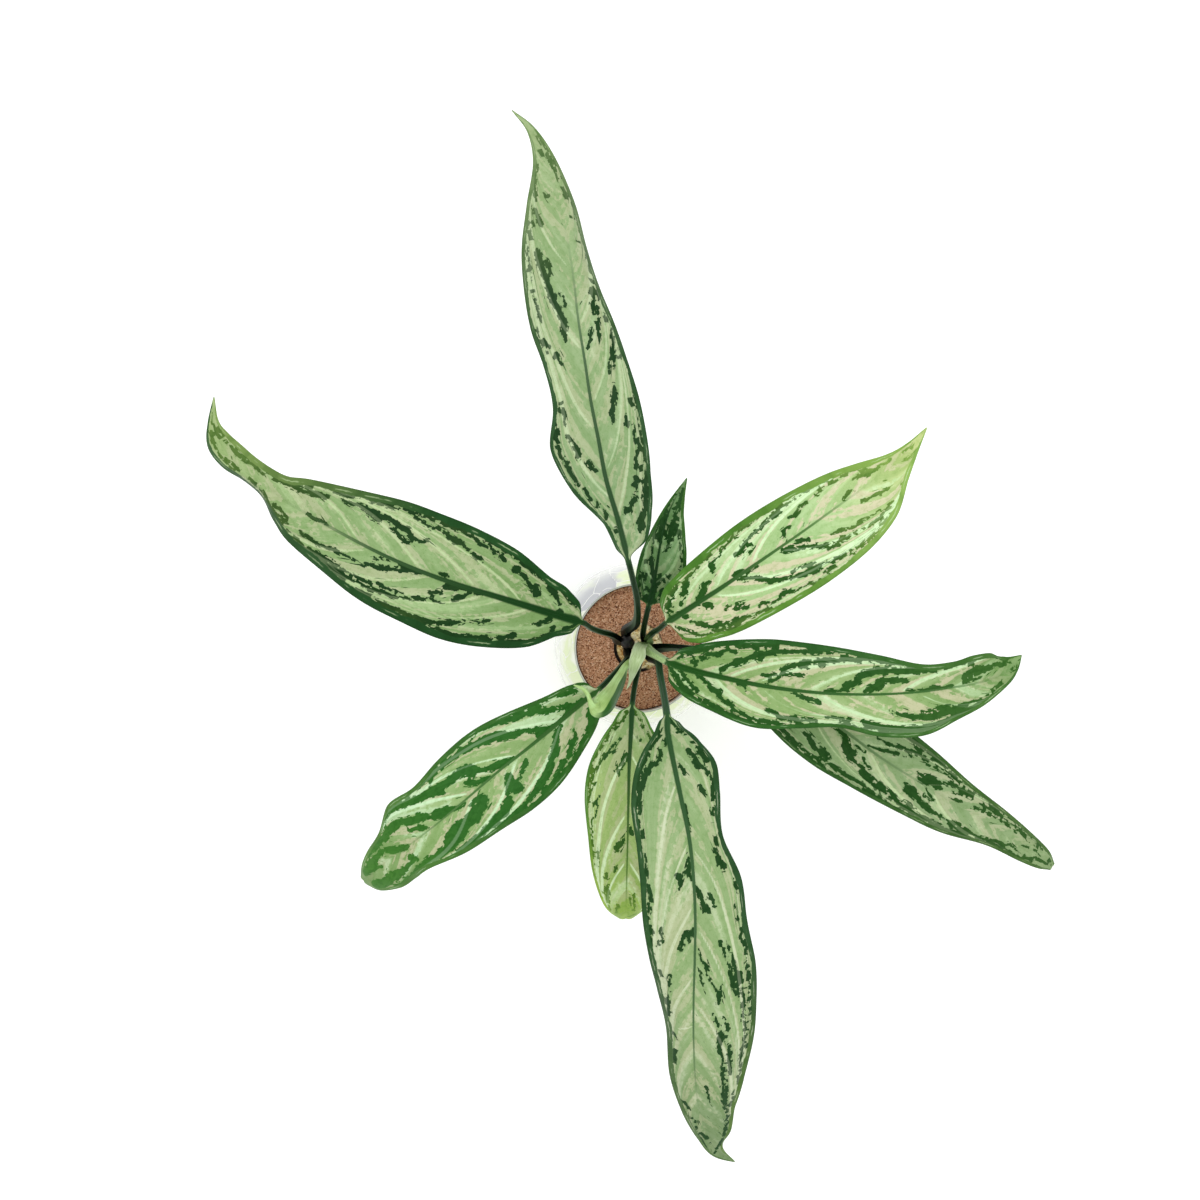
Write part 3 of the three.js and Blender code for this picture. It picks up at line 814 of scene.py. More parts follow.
    def with_midrib(self, under: Socket) -> Socket:
        """Adds the dark midrib, wide at the base and fading out along the blade.

        Args:
            under: the colour so far.

        Returns:
            The colour with the midrib.
        """
        fade = self.look.midrib_fade
        width = ((1 - self.along.most(0.0)) ** 3 * 2.2 + 0.6) * self.look.midrib_width
        core = (self.distance.size() + (self.grain - 0.5) * 0.5) / width
        colour = self.paint.mix(self.along.rise(0.1, 0.9), *self.look.midrib)
        shown = core.rise(1.1, 0.6) * self.along.rise(fade + 0.18, fade - 0.12)
        return self.paint.mix(shown, under, colour)

    def dress(self) -> Material:
        """Paints the upper side.

        Returns:
            The finish.
        """
        deep, blotch = self.mark_depth(), self.blotch()
        blade = self.paint.cover(
            self.ground(),
            (deep.rise(-1.0, 0.2) * 0.12, blotch),
            (deep.rise(-0.07, 0.07), blotch),
        )
        blade = self.with_midrib(self.with_rim(blade))
        relief = self.paint.bump(self.fibre + self.grain * 0.6, 0.00025, 0.35)
        roughness = self.grain * 0.14 + (self.look.sheen - 0.07)
        coloured = self.with_stalk(blade, self.fibre)
        return self.paint.finish(coloured, roughness, relief, Specular_IOR_Level=self.look.gloss)


@dataclass
class BladeGrid:
    """Values over a leaf's grid of rows along it and columns from its left margin to its right one."""

    index: Array
    along: Array
    walk: Array
    reach: Array
    fraction: Array
    centre: Array
    side: Array
    up: Array

    def by_half(self, left: Array, right: Array) -> Array:
        """Takes the left values left of the midrib and the right ones on it and right of it."""
        return np.where(self.fraction > 0, left, right)

    def half_reach(self) -> Array:
        """How far the blade's half reaches at each grid place."""
        return self.by_half(self.reach[:, :1], self.reach[:, 1:])


@dataclass
class Leaf:
    """One leaf: a grooved stalk with a winged sheath, and a waved blade with a keel under its midrib."""

    name: str
    node: str
    look: LeafLook
    seed: int
    half_columns: int = 28
    crowding: float = 1.25
    row_spacing: float = 1.2
    stalk_spacing: float = 2.6
    stalk_radius: float = 2.1
    least_reach: float = 0.3
    skin: float = 0.26
    crown: float = 0.09
    lift_onset: float = 1.6
    keel_depth: float = 1.9
    quilt: float = 0.45
    vein_width: float = 0.9
    vein_groove: float = 0.22
    channel_depth: float = 0.55
    channel_width: float = 1.1
    ripple: float = 0.35
    ripple_length: float = 9.0
    groove_depth: float = 0.45
    groove_width: float = 0.42
    wing_place: float = 0.68
    wing_width: float = 0.16

    @property
    def shape(self) -> LeafShape:
        """Where the leaf runs."""
        return SHAPES[self.node]

    def build(self) -> Piece:
        """Makes the leaf and puts it in place of its CAD node.

        Returns:
            The finished piece.
        """
        grid = self.lay_out()
        vein_place, pale, phase = self.vein_fields(grid)
        depth = self.mark_depth(grid, self.look.marks)
        pale = np.maximum(pale, smooth_step(-0.4, 0.3, self.mark_depth(grid, self.look.scars)))
        upper, lower = self.skins(grid, pale, phase)
        points = np.concatenate([upper, lower[:, ::-1]], axis=1)
        rows, columns = points.shape[:2]
        along = np.broadcast_to(grid.along[:, None], depth.shape)
        markings = np.stack([depth, pale, along], axis=-1)
        doubled = [np.concatenate([values, values[:, ::-1]], axis=1) for values in (vein_place, markings)]
        points, triangles, fields = close_ends(points, doubled)
        quads = tube_faces(rows, columns)
        under = np.tile(np.arange(columns) >= columns // 2, rows - 1)
        index = np.concatenate([under, np.zeros(len(triangles))])
        upper_skin = UpperSkin(f"{self.name}_upper", self.look, self.seed, grid.walk[-1])
        finishes = (upper_skin.dress(), UnderSkin(f"{self.name}_under", self.look).dress())
        names = dict(zip(("vein_place", "markings"), fields))
        piece = make_piece(self.name, points, quads, triangles, names, finishes, index)
        hand_in(piece, self.look.slot, self.node)
        return piece

    def lay_out(self) -> BladeGrid:
        """Spaces the rows and columns and finds the directions at each row.

        Along is 0 at the blade's base and 1 at its tip, and runs from -1 to 0 on the stalk. Fractions are
        closer together near the midrib. The sideways direction is level, and perpendicular to the midrib.

        Returns:
            The grid.
        """
        spine = self.shape.spine()
        base = float(len(self.shape.stalk) + 1)
        tip = float(len(spine) - 1)
        stalk_rows = even_index(spine, 0.0, base, self.stalk_spacing)
        blade_rows = even_index(spine, base, tip, self.row_spacing)
        index = np.concatenate([stalk_rows[:-1], blade_rows])
        centre = smooth_curve(spine, index)
        tangent = unit(smooth_curve(spine, index, slope=True))
        first = smooth_curve(spine, np.array([base + 0.5]), slope=True)
        stalk_side = unit(np.cross(ABOVE, first))
        turn = smooth_step(0, 1, index - base)[:, None]
        side = stalk_side * (1 - turn) + unit(np.cross(ABOVE, tangent)) * turn
        side = unit(side - tangent * np.sum(side * tangent, axis=1, keepdims=True))
        walk = arc_length(centre)
        start = walk[len(stalk_rows) - 1]
        length = walk[-1] - start
        along = np.where(walk >= start, (walk - start) / length, walk / start - 1)
        share = np.linspace(0, 1, self.half_columns + 1) ** self.crowding
        fraction = np.concatenate([share[::-1], -share[1:]])
        blade_index = np.clip(index - base, 0, None)
        blunt = np.where(blade_index < 1, blade_index**0.6, blade_index)
        reach = np.maximum(self.least_reach, smooth_curve(self.shape.table(3, 5), blunt))
        up = np.cross(tangent, side)
        return BladeGrid(index - base, along, walk - start, reach, fraction, centre, side, up)

    def vein_fields(self, grid: BladeGrid) -> tuple[Array, Array, Array]:
        """Places on the blade measured along its lateral veins.

        A vein leaves the midrib steeply forwards and bends to run beside the margin: at a fraction f of
        the half blade it has run forwards by reach * (1.6 f + sweep f^3 / (1.15 - f)). A place's start is
        the point of the midrib whose vein passes it.

        Args:
            grid: the leaf's grid.

        Returns:
            Start, distance from the midrib and distance from the margin, in millimetres; how much of a
            pale vein each place has; and how far it is from vein to vein, with whole numbers on veins.
        """
        reach = grid.half_reach()
        share = np.abs(grid.fraction)[None, :]
        sweep = self.look.sweep
        gap = VEIN_END - share
        start = grid.walk[:, None] - reach * (VEIN_LEAN * share + sweep * share**3 / gap)
        slope = VEIN_LEAN + sweep * share**2 * (3 * gap + share) / gap**2
        length = grid.walk[-1]
        pale = np.zeros(start.shape)
        phase = np.zeros(start.shape)
        for half, starts in enumerate(self.look.veins):
            on_half = (grid.fraction > 0) if half == 0 else (grid.fraction <= 0)
            lines = np.array(starts) / 100 * length
            ends = np.concatenate([[lines[0] - length], lines, [lines[-1] + length]])
            counts = np.concatenate([[-8.0], np.arange(len(lines)), [len(lines) + 7.0]])
            phase = np.where(on_half, np.interp(start, ends, counts), phase)
            for line in lines:
                off = (start - line) / np.sqrt(1 + slope**2)
                width = self.vein_width * (1 + share)
                streak = np.exp(-((off / width) ** 2)) * smooth_step(0.02, 0.12, share)
                pale = np.where(on_half, np.maximum(pale, streak), pale)
        pale *= smooth_step(1.0, 0.9, np.broadcast_to(grid.along[:, None], pale.shape))
        distance = grid.fraction * reach
        margin = reach * (1 - share)
        return np.stack([start, distance, margin], axis=-1), pale, phase

    def mark_depth(self, grid: BladeGrid, marks: Marks) -> Array:
        """How deep each place lies inside a mark, in millimetres; below 0 outside.

        It is the mark's half-width minus the distance to the mark's middle line, measured on the
        blade laid flat, and the deepest mark counts.

        Args:
            grid: the leaf's grid.
            marks: the marks.

        Returns:
            One value for each place, no less than -6.
        """
        reach = grid.half_reach()
        place = np.stack([np.broadcast_to(grid.walk[:, None], reach.shape), grid.fraction * reach], axis=-1)
        depth = np.full(reach.shape, FAR_OUTSIDE)
        length = grid.walk[-1]
        for mark in marks:
            stops = np.array(mark).reshape(-1, 3) / MARK_UNITS
            walk = stops[:, 0] * length
            half = np.stack([np.interp(walk, grid.walk, grid.reach[:, k]) for k in range(2)], axis=1)
            out = stops[:, 1] * np.where(stops[:, 1] > 0, half[:, 0], half[:, 1])
            line = np.stack([walk, out], axis=1)
            last = len(line) - 1
            for k in range(max(1, last)):
                after = min(k + 1, last)
                run = line[after] - line[k]
                t = np.clip((place - line[k]) @ run / max(1e-9, run @ run), 0, 1)
                away = np.linalg.norm(place - line[k] - t[..., None] * run, axis=-1)
                width = stops[k, 2] + t * (stops[after, 2] - stops[k, 2])
                depth = np.maximum(depth, width - away)
        return depth

    def skins(self, grid: BladeGrid, pale: Array, phase: Array) -> tuple[Array, Array]:
        """Places the upper and lower skin.

        Out from the midrib the middle surface rises by lift f^1.6, by an arch of sin(pi f), by the
        margin's waves times f^2, between lateral veins by a low quilt, and by a fine ripple. A skin lies
        to each side of it along the surface's own normal, thinner towards the margin, with a channel
        along the midrib above and a keel under it. Over the blade's first step the ring goes from the
        stalk's round, grooved and winged one to the blade's.

        Args:
            grid: the leaf's grid.
            pale: how much of a pale vein each place has.
            phase: count of veins passed.

        Returns:
            Points of the upper and of the lower skin, rows by columns by three.
        """
        share = np.abs(grid.fraction)[None, :]
        reach = grid.half_reach()
        blade_index = np.clip(grid.index, 0, None)
        lift_pair = smooth_curve(self.shape.table(5, 7), blade_index)
        lift = grid.by_half(lift_pair[:, :1], lift_pair[:, 1:])
        height, count, shift = self.shape.wave
        ahead = np.clip(grid.along, 0, 1)
        way = blade_index / blade_index[-1]
        turns = count * blade_index / blade_index[-1] + shift
        swell = height * np.sin(np.pi * np.clip(way, 0, 1)) ** 0.6
        left = swell * np.sin(2 * np.pi * turns)
        right = swell * np.sin(2 * np.pi * (0.9 * turns + 0.4))
        wave = grid.by_half(left[:, None], right[:, None])
        sign = np.sign(grid.fraction)[None, :] * 40
        ahead_by = grid.walk[:, None] / self.ripple_length
        rumple = np.stack(np.broadcast_arrays(ahead_by, share * 1.5 + sign), axis=-1)
        fine = value_noise(rumple.reshape(-1, 2), self.seed).reshape(reach.shape)
        middle = lift * share**self.lift_onset + self.crown * reach * np.sin(np.pi * share) + wave * share**2
        body = (np.sin(np.pi * np.clip(share, 0, 1)) ** 0.7) * smooth_step(0.02, 0.12, ahead)[:, None]
        body = body * smooth_step(1.0, 0.85, ahead)[:, None]
        middle = middle + self.quilt * body * (np.sin(np.pi * phase) ** 2 - 0.5)
        middle = middle + self.ripple * fine * share**2 * body**0.3
        across = grid.fraction[None, :] * reach
        step = np.gradient(across, axis=1)
        slope = np.gradient(middle, axis=1) / np.where(np.abs(step) < 1e-6, -1e-6, step)
        bend = 1 / np.sqrt(1 + slope**2)
        out, over = -slope * bend, bend
        thick = self.skin * (1 - 0.55 * share**2)
        distance = np.abs(across)
        fading = (1 - ahead)[:, None]
        channel = self.channel_depth * np.exp(-((distance / self.channel_width) ** 2))
        channel = channel * (0.35 + 0.65 * fading)
        keel = self.keel_depth * fading**1.5 * np.exp(-((distance / (1.0 + 1.2 * fading)) ** 2))
        top = thick - channel - self.vein_groove * pale * body
        bottom = -thick - keel - 0.6 * self.vein_groove * pale * body
        blend = smooth_step(0, 0.4, grid.index)[:, None]
        round_out, round_top, round_bottom = self.stalk_ring(grid)
        skins = []
        for offset, ring in ((top, round_top), (bottom, round_bottom)):
            flat_out, flat_over = across + out * offset, middle + over * offset
            away = round_out * (1 - blend) + flat_out * blend
            rise = ring * (1 - blend) + flat_over * blend
            skins.append(offset_points(grid.centre, grid.side, grid.up, away, rise))
        return skins[0], skins[1]

    def stalk_ring(self, grid: BladeGrid) -> tuple[Array, Array, Array]:
        """The stalk's section: round, grooved above, with two thin wings on the sheath at its foot.

        Args:
            grid: the leaf's grid.

        Returns:
            Sideways places, and heights of the upper and of the lower half, rows by columns.
        """
        foot = np.clip(-grid.along, 0, 1)[:, None]
        radius = self.stalk_radius + (self.shape.sheath + 0.6 - self.stalk_radius) * foot**2
        v = grid.fraction[None, :] * 0.985
        arc = np.sqrt(1 - v**2)
        groove = self.groove_depth * np.exp(-((v / self.groove_width) ** 2))
        beside = (np.abs(v) - self.wing_place) / self.wing_width
        wing = self.shape.wing * smooth_step(0.28, 0.6, foot) * np.exp(-(beside**2))
        top = radius * arc * (1 - groove) + wing
        return v * radius, top, -radius * arc


# Stems and new growth


@dataclass
class Cane(Part):
    """A short stem with a raised ring where each old leaf stood, and a domed top."""

    stations: tuple[tuple[float, float, float, float], ...]
    skin: Colour
    scar: Colour
    columns: int = 44
    spacing: float = 0.8
    scar_spacing: float = 9.0
    scar_height: float = 0.4
    scar_width: float = 0.07
    roughness: float = 0.12

    def build(self) -> Piece:
        """Makes the cane.

        The radius is read along the centre line, with a narrow ridge every scar spacing of height and
        shallow creases between, and closes over a quarter circle at the top.

        Returns:
            The finished piece.
        """
        index, centre, tangent, sizes = follow(self.stations, self.spacing)
        radius = sizes[:, 0]
        walk = arc_length(centre)
        left = walk[-1] - walk
        dome = np.sqrt(np.clip(1 - (1 - left / radius) ** 2, 0.0004, 1)) * (left < radius) + (left >= radius)
        beat = (centre[:, 2] / self.scar_spacing) % 1 - 0.5
        ridge = self.scar_height * np.exp(-((beat / self.scar_width) ** 2))
        angle = np.linspace(0, 2 * np.pi, self.columns, endpoint=False)
        side = unit(np.cross(NORTH, tangent))
        over = np.cross(tangent, side)
        wrap = np.stack(np.broadcast_arrays(centre[:, 2:] / 3, np.cos(angle) * 2, np.sin(angle) * 2), axis=-1)
        rough = value_noise(wrap.reshape(-1, 3), 5).reshape(len(index), self.columns)
        reach = (radius + ridge)[:, None] * dome[:, None] + self.roughness * rough * dome[:, None]
        ring = side[:, None] * np.cos(angle)[:, None] + over[:, None] * np.sin(angle)[:, None]
        points = centre[:, None] + ring * reach[..., None]
        return self.close_tube(points, {})

    def paint(self) -> Material:
        """Paints mottled skin with a paler band on each ring.

        Returns:
            The finish.
        """
        paint = Painter(f"{self.name}_skin")
        place = paint.place()
        height = paint.parts(place)[2]
        beat = paint.node("ShaderNodeMath", {"operation": "FRACT"}, {0: height * (1000 / self.scar_spacing)})
        mottle = paint.noise(place, 260.0, 4.0, 0.6)
        fine = paint.noise(place, 1400.0, 2.0)
        colour = paint.multiply(self.skin, (0.45, 0.42, 0.4), mottle.rise(0.42, 0.62))
        ring = ((beat - 0.5).size() + (mottle - 0.5) * 0.06).rise(0.09, 0.04)
        colour = paint.mix(ring * 0.7, colour, self.scar)
        return paint.finish(colour, fine * 0.2 + 0.5, paint.bump(fine + mottle, 0.0004, 0.6))


@dataclass
class RolledLeaf(Part):
    """The youngest leaf: a sheet rolled round itself once and a bit, with its outer edge standing off."""

    name: str = "new_leaf"
    node: str = "new_leaf_roll"
    slot: str = "new_growth"
    stations: tuple[tuple[float, ...], ...] = (
        (1.6, -1.0, 128, 1.9, 1.9, 0),
        (0.6, -2, 141.5, 2, 2, 0),
        (-4.5, -5, 165, 2.1, 2.1, 0.5),
        (-12.4, -9.7, 188, 2.6, 2.6, 1),
        (-17, -15.5, 212, 3.6, 3.2, 3.6),
        (-23, -24, 236, 5.4, 3.6, 3),
        (-28.4, -30, 254, 7.2, 3.6, 2.4),
        (-33.4, -34.4, 262, 6.4, 2.6, 1.2),
        (-37, -32.4, 266, 3, 1.6, 0),
        (-38.8, -28.4, 268, 1.7, 1, 0),
        (-40.4, -24, 268, 1.5, 0.9, 0),
        (-44, -20.4, 267, 1.3, 0.8, 0),
        (-49.8, -18.4, 264, 0.5, 0.5, 0),
    )
    columns: int = 64
    turns: float = 1.3
    start_turn: float = 0.62
    skin: float = 0.35
    spacing: float = 1.2
    narrowest: float = 0.5
    light: Colour = rgb(166, 196, 118)
    lightest: Colour = rgb(188, 222, 150)
    dark: Colour = rgb(44, 96, 30)
    foot: Colour = rgb(110, 140, 92)

    def build(self) -> Piece:
        """Makes the roll.

        The section is a spiral whose radius grows by a sixth over the turns, stretched sideways and
        upwards to the station's half-width and half-height, and whose last stretch runs off as a lap.
        The sheet's two faces lie a skin apart.

        Returns:
            The finished piece.
        """
        index, centre, tangent, sizes = follow(self.stations, self.spacing)
        wide, high, lap = sizes.T
        side = unit(np.cross(ABOVE, tangent))
        over = np.cross(tangent, side)
        u = np.linspace(0, 1, self.columns)
        angle = 2 * np.pi * (self.start_turn - self.turns * (1 - u))
        grow = 0.86 + 0.14 * u
        flare = np.clip(lap, 0, None)[:, None] * smooth_step(0.86, 1.0, u)
        sheets = []
        for inset in (0.0, self.skin):
            out, rise = ((np.clip(half, self.narrowest, None)[:, None] * grow - inset) + flare
                         for half in (wide, high))
            sheets.append(offset_points(centre, side, over, -out * np.cos(angle), rise * np.sin(angle)))
        points = np.concatenate([sheets[0], sheets[1][:, ::-1]], axis=1)
        along = np.broadcast_to((index / index[-1])[:, None], points.shape[:2])
        around = np.broadcast_to(np.concatenate([u, u[::-1]]), points.shape[:2])
        return self.close_tube(points, {"roll": np.stack([along, around, 0 * around], axis=-1)})

    def paint(self) -> Material:
        """Paints fresh light green, with fine lengthwise veins and a dark outer lap.

        Returns:
            The finish.
        """
        paint = Painter(f"{self.name}_skin")
        along, around, _ = paint.field("roll")
        lines = paint.pattern(along * 9, around * 46, detail=3.0)
        cloud = paint.pattern(along * 12, around * 5)
        colour = paint.mix(cloud.rise(0.35, 0.7), self.light, self.lightest)
        colour = paint.multiply(colour, (0.8, 0.88, 0.75), lines.rise(0.4, 0.65))
        bulge = along.rise(0.3, 0.42) * along.rise(0.58, 0.48) * 0.035
        lapped = (around + bulge + (cloud - 0.5) * 0.03).rise(0.77, 0.785) * along.rise(0.26, 0.34)
        lapped = lapped * along.rise(0.62, 0.57)
        colour = paint.cover(colour, (lapped, self.dark), (along.rise(0.22, 0.06) * 0.6, self.foot))
        relief = paint.bump(lines, 0.0003, 0.4)
        return paint.finish(colour, lines * 0.1 + 0.36, relief, Specular_IOR_Level=0.2)


@dataclass
class Bract(Part):
    """The pale pointed strap that sheathed the new leaf: folded over and dished along its middle."""

    name: str = "pale_bract"
    node: str = "bract"
    slot: str = "bract_green"
    stations: tuple[tuple[float, float, float, float], ...] = (
        (1.4, 4, 141.5, 3),
        (0.8, 4.6, 163, 4.0),
        (-2.2, 2.6, 181, 4.6),
        (-3.4, -2.2, 190, 5.6),
        (-5.4, -6.6, 192, 4.9),
        (-7.1, -13.9, 187, 3.3),
        (-8.6, -22, 176, 1.4),
        (-11, -29.4, 163, 0.3),
    )
    half_columns: int = 12
    curl: float = 0.28
    ripple: float = 0.35
    skin: float = 0.3
    spacing: float = 0.9
    narrowest: float = 0.25
    broad_way: Point = (1.0, -0.3, 0.0)
    light: Colour = rgb(196, 216, 164)
    vein: Colour = rgb(164, 190, 128)
    rim: Colour = rgb(208, 220, 188)
    foot: Colour = rgb(120, 152, 98)

    def build(self) -> Piece:
        """Makes the strap.

        Its edges stand above its middle by curl times the half-width times v^2, with a ripple along them.

        Returns:
            The finished piece.
        """
        index, centre, tangent, sizes = follow(self.stations, self.spacing)
        half = np.clip(sizes, self.narrowest, None)
        hint = np.array(self.broad_way)
        side = unit(hint - tangent * (tangent @ hint)[:, None])
        over = np.cross(tangent, side)
        v = np.linspace(1, -1, 2 * self.half_columns + 1)
        along = np.broadcast_to((index / index[-1])[:, None], (len(index), len(v)))
        dish = self.curl * half * v**2 + self.ripple * np.sin(along * 40 + v * 2) * v**2
        sheets = []
        for sign in (1, -1):
            lift = dish + sign * self.skin * (1 - 0.6 * v**2)
            sheets.append(offset_points(centre, side, over, half * v, lift))
        points = np.concatenate([sheets[0], sheets[1][:, ::-1]], axis=1)
        spread = np.stack([along, np.broadcast_to(v, along.shape), half * v], axis=-1)
        return self.close_tube(points, {"strap": np.concatenate([spread, spread[:, ::-1]], axis=1)})

    def paint(self) -> Material:
        """Paints pale green with lengthwise veins and a whitish edge.

        Returns:
            The finish.
        """
        paint = Painter(f"{self.name}_skin")
        along, share, across = paint.field("strap")
        lines = paint.pattern(along * 5, across * 1.6, detail=3.0)
        colour = paint.cover(
            self.light,
            (lines.rise(0.35, 0.7), self.vein),
            (share.size().rise(0.7, 1.0) * 0.5, self.rim),
            (along.rise(0.25, 0.05) * 0.6, self.foot),
        )
        return paint.finish(colour, 0.42, paint.bump(lines, 0.0003, 0.5))


# Planter, cork and substrate


@dataclass
class Planter(Part):
    """The glazed planter: a round belly on a narrow foot, a small mouth, and a raised wavy net."""

    name: str = "planter"
    node: str = "planter_pot"
    slot: str = "glaze"
    height: float = 118
    lip_radius: float = 53.5
    mouth_radius: float = 51.7
    belly_radius: float = 71
    belly_height: float = 60
    foot_radius: float = 45
    foot_height: float = 3
    shoulder_height: float = 113
    wall: float = 4.6
    floor: float = 7
    columns: int = 520
    net_size: float = 22.0
    net_height: float = 0.6
    net_waver: float = 0.42
    net_scatter: float = 0.42
    # Angle of the side whose meshes are painted grey: painted shade from the leaves, broken up mesh by mesh
    shaded_side: float = math.radians(123)

    def body_radius(self, height: Array) -> Array:
        """Gives the belly's outline.

        It is the sine of the rise to the power 0.8 below the belly's widest place, and the cosine of the
        fall to the power 0.9 above it.

        Args:
            height: heights above the underside.

        Returns:
            The outer radius at each height.
        """
        rise = np.clip((height - self.foot_height) / (self.belly_height - self.foot_height), 0, 1)
        fall = np.clip((height - self.belly_height) / (self.shoulder_height - self.belly_height), 0, 1)
        low = self.foot_radius + (self.belly_radius - self.foot_radius) * np.sin(np.pi / 2 * rise) ** 0.8
        high = self.lip_radius + (self.belly_radius - self.lip_radius) * np.cos(np.pi / 2 * fall) ** 0.9
        return np.where(height < self.belly_height, low, high)

    def outline(self) -> Array:
        """Lays out the wall's section.

        Returns:
            Radius and height of its points, from the middle of the underside up the outside, over the lip
            and down the inside to the middle of the floor.
        """
        outer = np.concatenate([np.linspace(self.foot_height, 12, 8), np.linspace(13, 104, 98),
                                np.linspace(105, self.shoulder_height, 10)])
        inner = np.linspace(106, 8, 14)
        lip = np.linspace(0, np.pi, 9)
        middle = (self.lip_radius + self.mouth_radius) / 2
        half = (self.lip_radius - self.mouth_radius) / 2
        parts = [
            np.stack([np.linspace(0.5, self.foot_radius - 2, 8), np.zeros(8)], axis=1),
            np.array([[self.foot_radius - 1, 0.05], [self.foot_radius - 0.3, 0.3], [self.foot_radius, 1.0]]),
            np.stack([self.body_radius(outer), outer], axis=1),
            np.stack([middle + half * np.cos(lip), self.height - half + half * np.sin(lip)], axis=1),
            np.array([[self.mouth_radius, height] for height in (114.0, 110.0, 108.0)]),
            np.stack([self.body_radius(inner) - self.wall, inner], axis=1),
            np.stack([np.linspace(40, 0.5, 6), np.full(6, self.floor)], axis=1),
        ]
        return np.concatenate(parts)

    def build(self) -> Piece:
        """Makes the planter: its section turned about +Z, with the net raised on the outside.

        Returns:
            The finished piece.
        """
        outline = self.outline()
        turn, radius, height = turn_section(outline, self.columns)
        ridge, tone = self.net(turn, height)
        outside = np.repeat(self.outside(outline)[:, None], self.columns, axis=1)
        radius = radius + self.net_height * ridge * outside
        points = round_points(turn, radius, height)
        marks = np.stack([ridge * outside, outside, tone], axis=-1)
        return self.close_tube(points, {"net": marks})

    def outside(self, outline: Array) -> Array:
        """Tells the outside of the belly from the rest.

        Args:
            outline: the wall's section.

        Returns:
            1 at points on the outside, fading to 0 at the foot and just under the lip.
        """
        top = int(np.argmax(outline[:, 1]))
        up = np.arange(len(outline)) < top
        height = outline[:, 1]
        return up * smooth_step(3, 9, height) * smooth_step(self.height - 1, self.height - 3, height)

    def net(self, angle: Array, height: Array) -> tuple[Array, Array]:
        """The net: a ridge where the two nearest of many scattered points are equally near.

        The points sit one to each cell of a grid round the belly, pushed off its middle by a fixed random
        step, and the place is first pushed about by smooth noise, which makes the ridges wavy.

        Args:
            angle: angle round the axis.
            height: height above the underside.

        Returns:
            The ridge's height, 0 to 1, and a tone that is steady within each mesh of the net, with a painted
            shade added that is greatest towards the shaded side.
        """
        around = round(2 * np.pi * self.belly_radius / self.net_size)
        u = angle / (2 * np.pi) * around
        v = height / self.net_size
        circle = np.stack([np.cos(angle) * 4, np.sin(angle) * 4, v * 1.3], axis=-1).reshape(-1, 3)
        u = u + self.net_waver * value_noise(circle, 11).reshape(u.shape)
        v = v + self.net_waver * value_noise(circle, 12).reshape(v.shape)
        tone = np.zeros(u.shape)
        near = np.full(u.shape, 9.0)
        second = np.full(u.shape, 9.0)
        for step in np.ndindex(3, 3):
            cell_u, cell_v = np.floor(u) + step[0] - 1, np.floor(v) + step[1] - 1
            cell = np.stack([cell_u % around, cell_v], axis=-1).reshape(-1, 2).astype(np.int64)
            push = [0.5 + self.net_scatter * hashed(cell, seed).reshape(u.shape) for seed in (21, 22)]
            away = np.hypot(cell_u + push[0] - u, cell_v + push[1] - v)
            tone = np.where(away < near, hashed(cell, 23).reshape(u.shape), tone)
            second = np.minimum(second, np.maximum(near, away))
            near = np.minimum(near, away)
        width = 0.04 + 0.025 * value_noise(circle * 1.7, 13).reshape(u.shape)
        ridge = np.exp(-(((second - near) / (2 * width)) ** 2))
        # Painted shade: the tone rises towards the shaded side, so meshes there turn grey
        return ridge, 0.2 * tone + np.cos(angle - self.shaded_side)

    def paint(self) -> Material:
        """Paints the glaze: pale yellow-green pooled between white ridges, plain white at lip and foot, with
        painted shade and painted light.

        Returns:
            The finish.
        """
        paint = Painter(f"{self.name}_glaze")
        net, outside, tone = paint.field("net")
        place = paint.place()
        pool = paint.noise(place, 42.0, 3.0)
        speckle = paint.noise(place, 900.0, 2.0)
        away = paint.from_axis(place)
        lip = self.lip_radius * MM
        # Painted shade: a thin grey line round the lip's inner edge
        lip_shade_line = away.rise(lip - 0.0014, lip - 0.001) * away.rise(lip - 0.0002, lip - 0.0006)
        glaze = paint.cover(
            rgb(234, 246, 196),
            ((pool + tone * 0.05).rise(0.42, 0.6), rgb(251, 253, 240)),
            # Painted shade: grey meshes on the shaded side
            ((tone + (pool - 0.5) * 0.3).rise(0.9, 0.98), rgb(196, 197, 205)),
        )
        glaze = paint.multiply(glaze, (0.97, 0.98, 0.96), speckle.rise(0.5, 0.75))
        # Painted light: the glaze washes out to near white towards the belly's widest place
        glaze = paint.mix(away.rise(0.06, self.belly_radius * MM) * 0.8, glaze, rgb(251, 252, 249))
        colour = paint.cover(
            rgb(240, 242, 238),
            (outside.most(away.rise(lip - 0.0007, lip - 0.0003)), glaze),
            # The painted shade line round the lip
            (lip_shade_line, rgb(178, 184, 174)),
            (net.rise(0.45, 0.85), rgb(253, 253, 251)),
        )
        # Painted light: the whole glaze is lifted above its own colour, against the shade that the leaves
        # cast on it
        colour = paint.multiply(colour, (1.12, 1.12, 1.11))
        relief = paint.bump(pool, 0.0008, 0.25)
        return paint.finish(colour, pool * 0.1 + 0.12, relief, Coat_Weight=0.4, Coat_Roughness=0.08)


